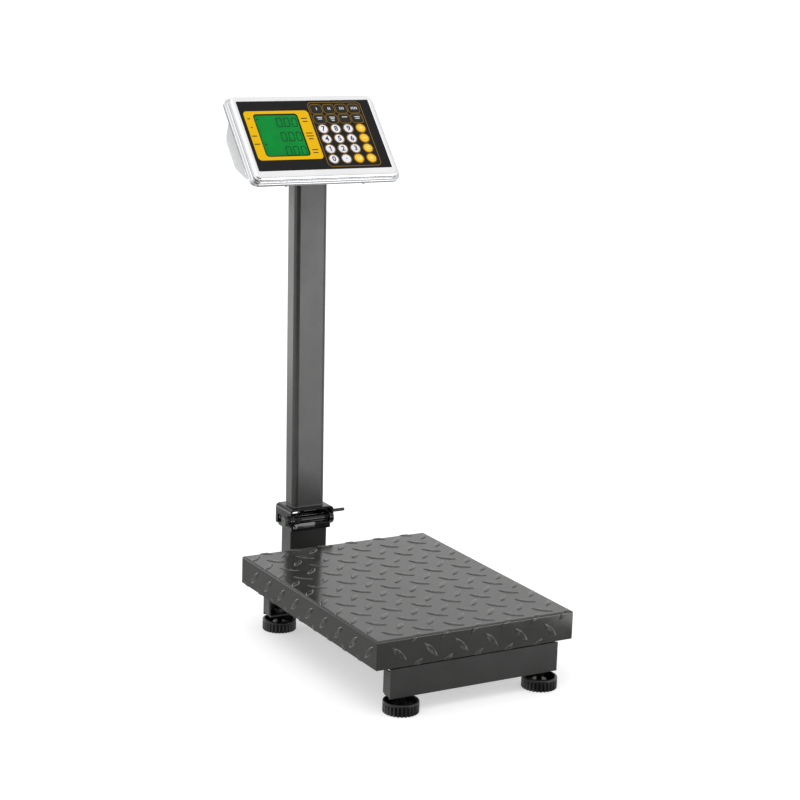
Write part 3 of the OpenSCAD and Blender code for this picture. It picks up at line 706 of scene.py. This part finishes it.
# inset from the rim, height, share of the ribs
WHEEL = [
    (3.0, 0, 0), (0.7, 0, 1), (0, 0.6, 1), (0, 11.6, 1), (0.3, 12.3, 0.8), (0.5, 12.6, 0),
    (0.1, 13.0, 0), (0, 13.7, 0), (0.1, 14.8, 0), (0.6, 15.6, 0), (1.4, 16, 0), (2.7, 16, 0),
    (3.3, 15.6, 0), (3.6, 14.8, 0), (4.0, 6.2, 0), (4.6, 5.3, 0), (5.4, 5, 0),
]
# radius, height, share of the ribs
HUB = [
    (11.2, 5, 0), (10.3, 5.4, 0), (10, 6.2, 0), (10, 10.4, 0), (9.6, 11.2, 0), (8.8, 11.5, 0),
    (4.9, 11.5, 0), (3.9, 11.3, 0),
]


def rib(angle, crown, share):
    """Radius at an angle of a ribbed rim; share is how much of the ribs shows."""
    phase = (angle * RIBS / (2 * math.pi)) % 1
    groove = max(0.0, 1 - abs(phase - 0.5) / GROOVE_HALF)
    return crown - RIB_DEPTH * share * math.sin(math.pi / 2 * groove)


def thread(radius, low, high, pitch=1.25):
    """Profile of a threaded stud, as rings."""
    root = radius - THREAD_DEPTH
    profile = []
    for k in range(int((high - low) / pitch)):
        z = low + pitch * k
        profile += [(root, z + 0.2, 0), (radius, z + 0.65, 0), (radius, z + 0.8, 0),
                    (root, z + pitch, 0)]
    return profile + [(radius - 0.8, high, 0), (0.3, high, 0)]


def foot(node):
    """Ribbed rubber dish with a bead round its top, a hub in the middle and a threaded stud."""
    low, high = box_mm(node)
    x, y = (low[0] + high[0]) / 2, (low[1] + high[1]) / 2
    rim = (high[0] - low[0]) / 2
    profile = [(0.5, 0, 0)] + [(rim - inset, z, share) for inset, z, share in WHEEL] + HUB
    profile += thread(3.95, 11.4, high[2])
    points, faces = lathe(profile, RIBS * RIB_SAMPLES, rib)
    points = [(px + x, py + y, pz) for px, py, pz in points]
    made = piece(node + "_ribbed", points, faces, BODY_OF[node], FINISHES["foot_rubber"],
                 "foot_rubber", [node], 32)
    weighted(made)


for corner_name in ("front_left", "front_right", "rear_left", "rear_right"):
    foot("foot_" + corner_name)


# ---------- fold hinge spring ----------

def middle(node):
    """Centre of a CAD node's box, in millimetres."""
    return sum(box_mm(node)) / 2


def hinge_spring():
    """Torsion spring round the hinge bolt, one leg on the bracket and one on the latch rod."""
    y, z = middle("hinge_spacer_and_nut")[1:]
    turns, coil, wire, pitch, steps = 4, 5.6, 1.0, 2.3, 36
    x0 = box_mm("hinge_spring")[0][0] + wire + 0.4
    rod_y = middle("latch_rod")[1]
    path = [(x0 - 0.4, y - 9, z - 8.4), (x0 - 0.25, y - 6, z - 7.2),
            (x0 - 0.1, y - 3, z - coil - 0.25)]
    for i in range(turns * steps + 1):
        a = 2 * math.pi * i / steps
        path.append((x0 + pitch * i / steps, y + coil * math.sin(a), z - coil * math.cos(a)))
    end = x0 + pitch * turns
    path += [(end + 0.2, y + 4, z - coil + 0.1), (end + 0.4, y + 14, z - coil + 0.6),
             (end + 0.4, rod_y - 2, z - coil + 0.6)]
    piece("hinge_spring_coil", *tube(path, wire), BODY_OF["hinge_spring"],
          FINISHES["spring_steel"], "spring_steel", ["hinge_spring"], 60)


hinge_spring()


# ---------- indicator head ----------

OUT = -Vector(JOINTS["press_r1c1"]["axis"]).normalized()
RIGHT = Vector((1, 0, 0))
UP = OUT.cross(RIGHT)
panel_low, panel_high = box_mm("overlay_panel")
PANEL_W, PANEL_T = panel_high[0] - panel_low[0], 3.0
PANEL_H = (panel_high[2] - panel_low[2] - PANEL_T * OUT.z) / UP.z
FACE = Vector((panel_low + panel_high) / 2) + OUT * PANEL_T / 2


def on_face(x, v, w=0.0):
    """A point from the head's face: x to the right, v up it, w out of it."""
    return tuple(FACE + RIGHT * x + UP * v + OUT * w)


def face_place(point):
    """(x, v, w) on the face of a point in the row frame."""
    away = Vector(point) - FACE
    return away.dot(RIGHT), away.dot(UP), away.dot(OUT)


def head_piece(name, part, finish, slot=None, replaces=(), auto_smooth=35, body="head"):
    """A piece whose part is given on the head's face."""
    return piece(name, *placed(part, on_face), body, finish, slot, replaces, auto_smooth)


def face_loop(width, height, radius, w, v=0.0, x=0.0, steps=10):
    """Rounded rectangle about (x, v) on the face, w out of it."""
    return [(px, pv, w) for px, pv in rounded_rect(width, height, radius, steps, (x, v))]


RING_LOW = -6.6
BEZEL_DROP = -2.0
RING = (229, 143, 9)
RING_ROLL = 4.0
SKIRT = (241, 150, 13)
SKIRT_EDGE = 1.5


def rolled(size, top, roll, steps):
    """Sections of a quarter-round edge that ends at the full size: width, height, radius, w."""
    width, height, corner = size
    sections = []
    for k in range(steps + 1):
        a = math.pi / 2 * k / steps
        inset = 2 * roll * (1 - math.sin(a))
        depth = top - roll * (1 - math.cos(a))
        sections.append((width - inset, height - inset, corner - inset / 2, depth))
    return sections


def bezel():
    """Pressed stainless frame: a rolled front ring that steps out to a wider skirt."""
    seat = -PANEL_T
    w, h, r = RING
    skirt_w, skirt_h, skirt_r = SKIRT
    lip = ((-10, 1.5, seat - 2.5), (-10, 1.5, seat), (0.4, 1.5, seat), (0.4, 1.5, 0.2),
           (0.9, 1.7, 0.75), (2.0, 2.2, 1.0))
    frame_parts = [
        *rolled(RING, 1, RING_ROLL, 8),
        (w, h, r, RING_LOW), (w + 0.5, h + 0.3, r + 0.3, -7.5), (w + 2.0, h + 1.2, r + 1, -8.0),
        *rolled(SKIRT, -8, SKIRT_EDGE, 5),
        (skirt_w, skirt_h, skirt_r, -12.6), (skirt_w - 0.8, skirt_h - 0.8, skirt_r - 0.4, -13),
        (222, 136, 7, -13), (222, 136, 7, seat - 2.5),
    ]
    # width, height, corner radius, w, centre v
    section = [(PANEL_W + grow, PANEL_H + grow, corner, depth, 0) for grow, corner, depth in lip]
    section += [(*part, BEZEL_DROP) for part in frame_parts]
    loops = [face_loop(*size, depth, v, steps=12) for *size, depth, v in section[::-1]]
    made = head_piece("head_bezel_pressed", loft(loops, closed=True), FINISHES["bezel_steel"],
                      "bezel_steel", ["head_bezel"], 40)
    # Marks the skirt behind the front ring, where the steel is painted greyer as painted shade.
    mark_points(made, "skirt", [depth <= RING_LOW for loop in loops for *_, depth in loop])
    weighted(made)


bezel()

KEY_PITCH = (20.4, 17.6)
KEY_FIRST = (17.5, 45.4)
OBLONG = (16.4, 14, 4)
ROUND_R = 7.0
LCD_CENTRE = (-51.5, 1.3)
LCD_SIZE = (68, 71.5)


def key_centre(row, column):
    return (KEY_FIRST[0] + KEY_PITCH[0] * (column - 1),
            KEY_FIRST[1] - KEY_PITCH[1] * (row - 1))


def key_outline(row, grow, centre=(0, 0)):
    """Outline of a key, or of its hole where grow is above 0."""
    if row <= 2:
        return rounded_rect(OBLONG[0] + 2 * grow, OBLONG[1] + 2 * grow, OBLONG[2] + grow, 9, centre)
    return circle(ROUND_R + grow, 40, centre)


KEYS = [(r, c) for r in range(1, 7) for c in range(1, 5)]
keyholes = [key_outline(r, 0.3, key_centre(r, c)) for r, c in KEYS]
lcd_window = rounded_rect(*LCD_SIZE, 4, 10, LCD_CENTRE)
panel_rim = rounded_rect(PANEL_W, PANEL_H, 1.2, 5)
head_piece("front_panel", plate([panel_rim, lcd_window, *keyholes], -PANEL_T, 0),
           FINISHES["panel_black"], "panel_black", ["overlay_panel"])

INK = 0.06
LINE = 0.7


def ink(name, outlines, colour, low=0.0):
    """Thin printed layer on the face."""
    head_piece(name, plate(outlines, low, low + INK), PRINTS[colour])


def gold_line(name, width, height, radius, centre):
    """Rectangular gold line with round corners."""
    inner = rounded_rect(width - 2 * LINE, height - 2 * LINE, radius - LINE, 10, centre)
    ink(name, [rounded_rect(width, height, radius, 10, centre), inner], "gold")


def display_rim(grow, radius):
    return rounded_rect(LCD_SIZE[0] + grow, LCD_SIZE[1] + grow, radius, 10, LCD_CENTRE)


# yellow surround of the display, gold line round the keypad, gold rings round the keys
ink("print_display_surround",
    [rounded_rect(103.1, 85, 6, 10, (-49.05, 1.0)), display_rim(2.4, 5.2)], "yellow")
gold_line("print_keypad_line", 86.5, 113.2, 7, (48.5, 0.9))
for r, c in KEYS:
    tag = f"print_ring_r{r}c{c}"
    spot = key_centre(r, c)
    if r <= 2:
        gold_line(tag, 19.2, 16.8, 5.2, spot)
    else:
        ink(tag, [circle(ROUND_R + 1.35, 40, spot), circle(ROUND_R + 0.6, 40, spot)], "gold")

# plain bars where the real panel has captions: x, v, length
CAPTIONS = [
    (-94.5, 30.5, 5), (-94.5, 15.5, 3), (-94.5, 0.5, 8), (-94.5, -13.5, 9), (-7.3, 29.5, 10),
    (-7.3, 24, 8), (-7.3, 3.5, 11), (-7.3, -1.5, 12), (-7.3, -6.5, 8), (-7.3, -25.5, 10),
    (-7.3, -30.5, 8),
]
for k, (x, v, length) in enumerate(CAPTIONS):
    ink(f"print_caption_{k + 1}", [rounded_rect(length, 1.5, 0.6, 4, (x, v))], "black", INK)


# ---------- display ----------

GLASS_TOP = -0.5
GLASS_ROUND = 0.5
SEGMENT = 1.35
SEGMENT_GAP = 0.25
SLANT = 0.04
DIGIT = (7.4, 14.6)
DIGIT_STEP = 12.0
ROW_RIGHT = -24.6
ROW_HEIGHTS = (23.4, -1.4, -26.2)


def lcd():
    """Display glass in its window, with its dark gasket line."""
    w, h = LCD_SIZE[0] - 0.6, LCD_SIZE[1] - 0.6
    x, v = LCD_CENTRE
    loops = [face_loop(w, h, 3.7, -PANEL_T, v, x)]
    for k in range(4):
        a = math.pi / 2 * k / 3
        inset = 2 * GLASS_ROUND * (1 - math.cos(a))
        depth = GLASS_TOP - GLASS_ROUND * (1 - math.sin(a))
        loops.append(face_loop(w - inset, h - inset, 3.7 - inset / 2, depth, v, x))
    back = [face_loop(LCD_SIZE[0] + 6, LCD_SIZE[1] + 6, 2, z, v, x) for z in (-8.6, -3.35)]
    head_piece("display_glass", join(loft(loops), loft(back)), FINISHES["lcd"], "lcd",
               ["lcd_module"], 40)
    ink("display_gasket", [display_rim(2.6, 5.3), display_rim(0.1, 4.05)], "black", 0.01)


lcd()


def segment(x, v, length, upright):
    """One bar of a seven-segment digit, pointed at both ends."""
    h, t = length / 2, SEGMENT / 2
    bar = [(-h, 0), (-h + t, -t), (h - t, -t), (h, 0), (h - t, t), (-h + t, t)]
    if upright:
        bar = [(-b, a) for a, b in bar]
    return [(x + a + (v + b) * SLANT, v + b) for a, b in bar]


def on_glass(outline):
    return plate([outline], GLASS_TOP, GLASS_TOP + INK)


def zero(x, v):
    """Plates of a nought, centred on x and v."""
    width, height = DIGIT
    right, half = width / 2, height / 2
    spots = [
        (0, half, False), (right, half / 2, True), (right, -half / 2, True),
        (0, -half, False), (-right, -half / 2, True), (-right, half / 2, True),
    ]
    parts = []
    for dx, dv, upright in spots:
        bar = segment(dx, dv, (half if upright else width) - SEGMENT_GAP, upright)
        parts.append(on_glass([(x + a, v + b) for a, b in bar]))
    return parts


def readout():
    """Three rows that each read 0.00, and two small pointers."""
    for k, v in enumerate(ROW_HEIGHTS):
        parts = []
        for n in range(3):
            parts += zero(ROW_RIGHT - n * DIGIT_STEP, v)
        dot = (ROW_RIGHT - 1.5 * DIGIT_STEP, v - DIGIT[1] / 2)
        parts.append(on_glass(rounded_rect(1.7, 1.7, 0.5, 3, dot)))
        head_piece(f"display_row_{k + 1}", join(*parts), PRINTS["segment"])
    x = LCD_CENTRE[0] - LCD_SIZE[0] / 2 + 5
    for k, v in enumerate((29.5, -14)):
        arrow = on_glass([(x - 2, v - 1.6), (x + 2, v), (x - 2, v + 1.6)])
        head_piece(f"display_pointer_{k + 1}", arrow, PRINTS["segment"])


readout()


# ---------- keys ----------

KEY_CAP = 0.9
KEY_ROUND = 0.7
NUMERAL_SIZE = 11.5
NUMERAL_BOLD = 0.02
NUMERALS = {(3, 1): "7", (3, 2): "8", (3, 3): "9", (4, 1): "4", (4, 2): "5", (4, 3): "6",
            (5, 2): "2", (5, 3): "3", (6, 1): "0"}


def evaluated(obj):
    """New mesh of an object with its modifiers applied."""
    graph = bpy.context.evaluated_depsgraph_get()
    return bpy.data.meshes.new_from_object(obj.evaluated_get(graph))


def numeral(text):
    """Outline of a numeral as a flat mesh, centred: points and faces in millimetres."""
    curve = bpy.data.curves.new("numeral", "FONT")
    curve.body = text
    curve.size = NUMERAL_SIZE * MM
    curve.align_x = "CENTER"
    curve.offset = NUMERAL_BOLD * NUMERAL_SIZE * MM
    curve.extrude = INK / 2 * MM
    made = bpy.data.objects.new("numeral", curve)
    bpy.context.scene.collection.objects.link(made)
    bpy.context.view_layer.update()
    mesh = evaluated(made)
    points = np.array([v.co for v in mesh.vertices]) / MM
    faces = [tuple(p.vertices) for p in mesh.polygons]
    bpy.data.objects.remove(made)
    bpy.data.curves.remove(curve)
    bpy.data.meshes.remove(mesh)
    points -= (points.min(0) + points.max(0)) / 2
    return [tuple(p) for p in points], faces


def key_shape(row, crown):
    """Key body with a slightly crowned, round-edged top; its skirt sits below the panel."""
    base = -PANEL_T - 0.4
    loops = [[(x, v, base) for x, v in key_outline(row, 0)]]
    for k in range(6):
        a = math.pi / 2 * k / 5
        z = KEY_CAP - crown - KEY_ROUND * (1 - math.sin(a))
        rim = key_outline(row, -KEY_ROUND * (1 - math.cos(a)))
        loops.append([(x, v, z) for x, v in rim])
    for share in (0.75, 0.5, 0.25, 0.04):
        z = KEY_CAP - crown * share**2
        loops.append([(x * share, v * share, z) for x, v in key_outline(row, -KEY_ROUND)])
    skirt = [[(x, v, z) for x, v in key_outline(row, 1)] for z in (base - 0.8, base)]
    stem = [[(x, v, z) for x, v in circle(2.5, 24)] for z in (-7.5, base - 0.79)]
    return join(loft(loops), loft(skirt), loft(stem))


PLUS = [(1, 1), (1, 3.2), (-1, 3.2), (-1, 1), (-3.2, 1), (-3.2, -1), (-1, -1), (-1, -3.2),
        (1, -3.2), (1, -1), (3.2, -1), (3.2, 1)]
ONE = [(-2.3, 1.6), (-1.6, 1.0), (-0.5, 1.9), (-0.5, -4.1), (1.1, -4.1), (1.1, 4.1), (-0.1, 4.1)]
ARROW = [(-2.6, -3), (3.2, 0), (-2.6, 3)]


def bar(width, height, x=0.0, v=0.0, radius=0.5):
    return rounded_rect(width, height, radius, 4, (x, v))


def key_mark(row, column):
    """Outlines of a key's mark that isn't from a font."""
    if row == 1:
        return [bar(1.25, 4.6, (k - (column - 1) / 2) * 2.7) for k in range(column)]
    if row == 2:
        return [bar(9 - 2 * k, 1.3, 0, 2.2 - 2.9 * k, 0.6) for k in range(1 + column % 3)]
    marks = {
        (3, 4): [PLUS],
        (4, 4): [bar(6.6, 1.9)],
        (5, 1): [ONE],
        (5, 4): [bar(6.2, 1.6, 0, 1.7), bar(6.2, 1.6, 0, -1.7)],
        (6, 2): [circle(0.95, 20)],
        (6, 3): [bar(2.2, 6, -2), bar(2.2, 6, 2)],
        (6, 4): [ARROW],
    }
    return marks[(row, column)]


def keys():
    """Caps of the 24 keys, each with its mark."""
    inks = {"key_white": "black", "key_black": "white", "key_yellow": "cream"}
    for row, column in KEYS:
        node = f"key_r{row}c{column}"
        slot = SLOTS[node]
        x, v = key_centre(row, column)

        def at_key(a, b, c):
            return a + x, b + v, c

        cap = placed(key_shape(row, 0.12 if row <= 2 else 0.2), at_key)
        head_piece(node + "_cap", cap, FINISHES[slot], slot, [node], 40, BODY_OF[node])
        if (row, column) in NUMERALS:
            points, faces = numeral(NUMERALS[(row, column)])
            mark = [(a, b, c + KEY_CAP + INK / 2) for a, b, c in points], faces
        else:
            outlines = key_mark(row, column)
            mark = join(*(plate([o], KEY_CAP, KEY_CAP + INK) for o in outlines))
        head_piece(node + "_mark", placed(mark, at_key), PRINTS[inks[slot]], body=BODY_OF[node])


keys()


# ---------- head shell ----------

SHELL_CORNER_STEPS = 8
SHELL_WALL = 2.5
SHELL_SIDE = (98, 112)
SWITCH_HALF = (9.4, 6.4)
JACK_HOLE = 4.05
RECESS_HALF = 23.5
RECESS_REACH = (12.5, 17)
RECESS_DEPTH = 70
# Sections of the shell: depth w, upper v, lower v, half width, upper and lower corner radius.
SHELL_LEVELS = [
    (-13.2, 66, -66, 108, 6, 4), (-26, 64.6, -62, 108, 12, 4), (-34, 63.6, -53, 107.9, 17, 5),
    (-42, 62.6, -44, 107.8, 21, 5), (-50, 61.5, -32, 107.6, 24, 6),
    (-57, 59.6, -21.5, 107.1, 25, 6), (-61.5, 56, -15, 106.2, 24, 6),
    (-64.5, 52.6, -10.5, 104.4, 22, 5), (-65.7, 49.8, -8, 102.2, 20, 4), (-66, 46, -5.5, 99, 17, 3),
]


def shell_loops(shrink):
    """Tray loops from the open front to the closed back; shrink insets them by the wall."""
    loops = []
    for w, upper, lower, half, upper_r, lower_r in SHELL_LEVELS:
        loop = []
        for sx, sv, start in ((1, 1, 0), (-1, 1, 90), (-1, -1, 180), (1, -1, 270)):
            v, radius = (upper, upper_r) if sv > 0 else (lower, lower_r)
            r = max(radius - shrink, 0.5)
            x, v = sx * (half - shrink - r), v - sv * (shrink + r)
            for i in range(SHELL_CORNER_STEPS + 1):
                a = math.radians(start + 90 * i / SHELL_CORNER_STEPS)
                loop.append((x + r * math.cos(a), v + r * math.sin(a), w + shrink))
        loops.append(loop)
    return loops


def solid(name, part, place=on_face):
    """A helper mesh for a Boolean."""
    return bare_mesh(name, *placed(part, place))


def block(low, high):
    """Box as points and faces."""
    (x0, y0, z0), (x1, y1, z1) = low, high
    return loft([[(x0, y0, z), (x1, y0, z), (x1, y1, z), (x0, y1, z)] for z in (z0, z1)])


def combine(target, other, how):
    """Applies a Boolean with a helper, and removes the helper."""
    mod = target.modifiers.new(how, "BOOLEAN")
    mod.operation = how
    mod.object = other
    mod.solver = "EXACT"
    bpy.context.view_layer.update()
    cut = evaluated(target)
    target.modifiers.clear()
    target.data = cut
    bpy.data.objects.remove(other)


def same(x, y, z):
    return x, y, z


def head_shell():
    """Hollow tray with a neck recess, two openings and a flange."""
    wall = SHELL_WALL
    tilt_y = JOINTS["head_tilt"]["pos_m"][1] / MM
    ceiling = box_mm("head_bracket")[1][2]
    recess_low = np.array((-RECESS_HALF, tilt_y - RECESS_REACH[0], ceiling - RECESS_DEPTH))
    recess_high = np.array((RECESS_HALF, tilt_y + RECESS_REACH[1], ceiling))
    shell = solid("shell", loft(shell_loops(0)[::-1]))
    mouth = face_loop(2 * (108 - wall), 2 * (66 - wall), 4, -10, steps=8)
    hollow = [mouth] + shell_loops(wall)
    combine(shell, solid("hollow", loft(hollow[::-1])), "DIFFERENCE")
    liner = solid("liner", block(recess_low - wall, recess_high + wall), same)
    combine(liner, solid("trim", loft(shell_loops(0.6)[::-1])), "INTERSECT")
    combine(shell, liner, "UNION")
    combine(shell, solid("recess", block(recess_low, recess_high), same), "DIFFERENCE")
    side_in, side_out = SHELL_SIDE
    v, w = face_place(middle("power_switch_body"))[1:]
    half_v, half_w = SWITCH_HALF
    opening = block((side_in, v - half_v, w - half_w), (side_out, v + half_v, w + half_w))
    combine(shell, solid("switch_hole", opening), "DIFFERENCE")
    ring = circle(JACK_HOLE, 32, face_place(middle("charge_jack"))[1:])
    jack = [[(x, v, w) for v, w in ring] for x in SHELL_SIDE]
    combine(shell, solid("jack_hole", loft(jack)), "DIFFERENCE")
    made = shell
    made.name = "head_shell_moulded"
    made.data.materials.clear()
    made.data.materials.append(FINISHES["shell_plastic"].mat)
    soften(made, 30)
    weighted(made)
    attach(made, "head")
    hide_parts("head_shell")
    flange = [face_loop(237 - i, 146 - i, 11 - i / 2, w, -2)
              for i, w in ((0.6, -13.02), (0, -13.4), (0, -15.4), (1.2, -16))]
    flange += [face_loop(208, 124, 6, w) for w in (-16, -13.02)]
    head_piece("head_shell_flange", loft(flange, closed=True), FINISHES["shell_plastic"],
               "shell_plastic", (), 40)


head_shell()

for node, edge in EDGE_MM.items():
    if not frame["nodes"][node].hide_render:
        dress(node, edge)


# ---------- floor, light and camera ----------

WHITE = (1, 1, 1, 1)
FLOOR_HALF = 60.0
FLOOR_DROP = 0.0002


def sheet(name, half_x, half_y, finish, glow):
    """Flat rectangle of the set with a glowing finish; half sides in metres."""
    finish.shader.inputs["Emission Color"].default_value = WHITE
    finish.shader.inputs["Emission Strength"].default_value = glow
    mesh = bpy.data.meshes.new(name)
    corners = [(x * half_x, y * half_y, 0) for x, y in ((-1, -1), (1, -1), (1, 1), (-1, 1))]
    mesh.from_pydata(corners, [], [(0, 1, 2, 3)])
    mesh.materials.append(finish.mat)
    made = bpy.data.objects.new(name, mesh)
    bpy.context.scene.collection.objects.link(made)
    return made


def card(name, place, turn, size, grey, glow=0.0):
    """Grey or glowing card that only reflections see; turn is in degrees."""
    finish = Finish(name, (grey, grey, grey), 0.9, specular=0.0)
    finish.mottled(200, 0.9, 1.1)
    made = sheet(name, size[0] / 2, size[1] / 2, finish, glow)
    made.location = place
    made.rotation_euler = [math.radians(a) for a in turn]
    made.visible_camera = made.visible_diffuse = made.visible_shadow = False


def stage():
    """White floor, and the cards that the object reflects."""
    finish = Finish("studio_floor", (0.6, 0.6, 0.6), 0.7, specular=0.1)
    finish.mottled(300, 0.995, 1.005)
    floor = sheet("floor", FLOOR_HALF, FLOOR_HALF, finish, 0.5)
    floor.location.z = -FLOOR_DROP
    card("flag_by_camera", (-0.88, -1.8, 0.65), (90, 0, -26), (3.6, 1.5), 0.01)
    card("flag_behind_left", (-1.05, 1.95, 0.8), (90, 0, 29), (1.8, 0.8), 0.5)
    card("flag_on_left", (-0.5, 0.15, 0.0006), (0, 0, 0), (0.6, 1.0), 0.4)
    card("flag_in_front", (0.07, -0.46, 0.0008), (0, 0, 0), (0.44, 0.34), 0.35)
    card("flag_on_right", (0.5, 0.2, 0.0006), (0, 0, 0), (0.6, 0.9), 0.45)
    card("strip_in_front", (0.64, -0.93, 0.0004), (0, 0, 29.4), (0.5, 1.5), 0.9, 2.2)


def aimed(name, light, place, target):
    """Links a light that looks from place to target."""
    made = bpy.data.objects.new(name, light)
    made.location = place
    made.rotation_mode = "QUATERNION"
    made.rotation_quaternion = (Vector(target) - Vector(place)).to_track_quat("-Z", "Y")
    bpy.context.scene.collection.objects.link(made)
    return made


def area_light(name, place, target, size, watts):
    light = bpy.data.lights.new(name, "AREA")
    light.shape = "RECTANGLE"
    light.size, light.size_y = size
    light.energy = watts
    return aimed(name, light, place, target)


def softbox(*settings):
    """Area light that only reflections see."""
    made = area_light(*settings)
    made.visible_diffuse = made.visible_camera = False


def sun_light(name, place, strength, spread):
    light = bpy.data.lights.new(name, "SUN")
    light.energy = strength
    light.angle = math.radians(spread)
    aimed(name, light, place, (0, 0, 0))


SKY_GREY_AT = 0.45
SKY_GREY = 0.72
SKY_STRENGTH = 1.12


def sky():
    """White world, greyer half-way up."""
    world = bpy.data.worlds.new("studio")
    bpy.context.scene.world = world
    world.use_nodes = True
    nodes, links = world.node_tree.nodes, world.node_tree.links
    place = nodes.new("ShaderNodeTexCoord").outputs["Generated"]
    split = nodes.new("ShaderNodeSeparateXYZ")
    ramp = nodes.new("ShaderNodeValToRGB")
    links.new(place, split.inputs[0])
    links.new(split.outputs["Z"], ramp.inputs["Fac"])
    stops = ramp.color_ramp.elements
    stops[0].position, stops[0].color = 0.1, WHITE
    stops[1].position, stops[1].color = 0.9, WHITE
    stops.new(SKY_GREY_AT).color = (SKY_GREY, SKY_GREY, SKY_GREY, 1)
    links.new(ramp.outputs["Color"], nodes["Background"].inputs["Color"])
    nodes["Background"].inputs["Strength"].default_value = SKY_STRENGTH


def studio():
    """The world and the lights."""
    sky()
    sun_light("overhead_sun", (-0.5, -0.3, 2.0), 0.5, 50)
    area_light("side_light", (-2.6, 0.9, 1.5), (0, 0, 0.25), (1.4, 1.8), 4)
    softbox("back_softbox", (-0.74, 1.5, 0.22), (0, 0.2, 0.35), (0.9, 0.44), 1.5)
    softbox("front_softbox", (1.1, -1.65, 0.23), (0.1, 0.2, 0.3), (1.1, 0.45), 4.8)


CAMERA_PLACE = (-1.3681, -2.43835, 0.9851)
CAMERA_RIGHT = Vector((0.87035558, -0.49144531, 0.03102685))
CAMERA_UP = Vector((0.08678225, 0.21510447, 0.97272756))
SENSOR_MM = 36
LENS_MM = 93.36
SHIFT = (0.0016, 0.0171)


def camera():
    """Camera fitted to the photographed object."""
    data = bpy.data.cameras.new("camera")
    data.sensor_width = SENSOR_MM
    data.lens = LENS_MM
    data.shift_x, data.shift_y = SHIFT
    data.clip_start, data.clip_end = 0.05, 50
    made = bpy.data.objects.new("camera", data)
    axes = (CAMERA_RIGHT, CAMERA_UP, CAMERA_RIGHT.cross(CAMERA_UP))
    turn = Matrix(axes).transposed().to_4x4()
    made.matrix_world = Matrix.Translation(CAMERA_PLACE) @ turn
    bpy.context.scene.collection.objects.link(made)
    bpy.context.scene.camera = made


stage()
studio()
camera()
bpy.context.scene.view_settings.view_transform = "Standard"
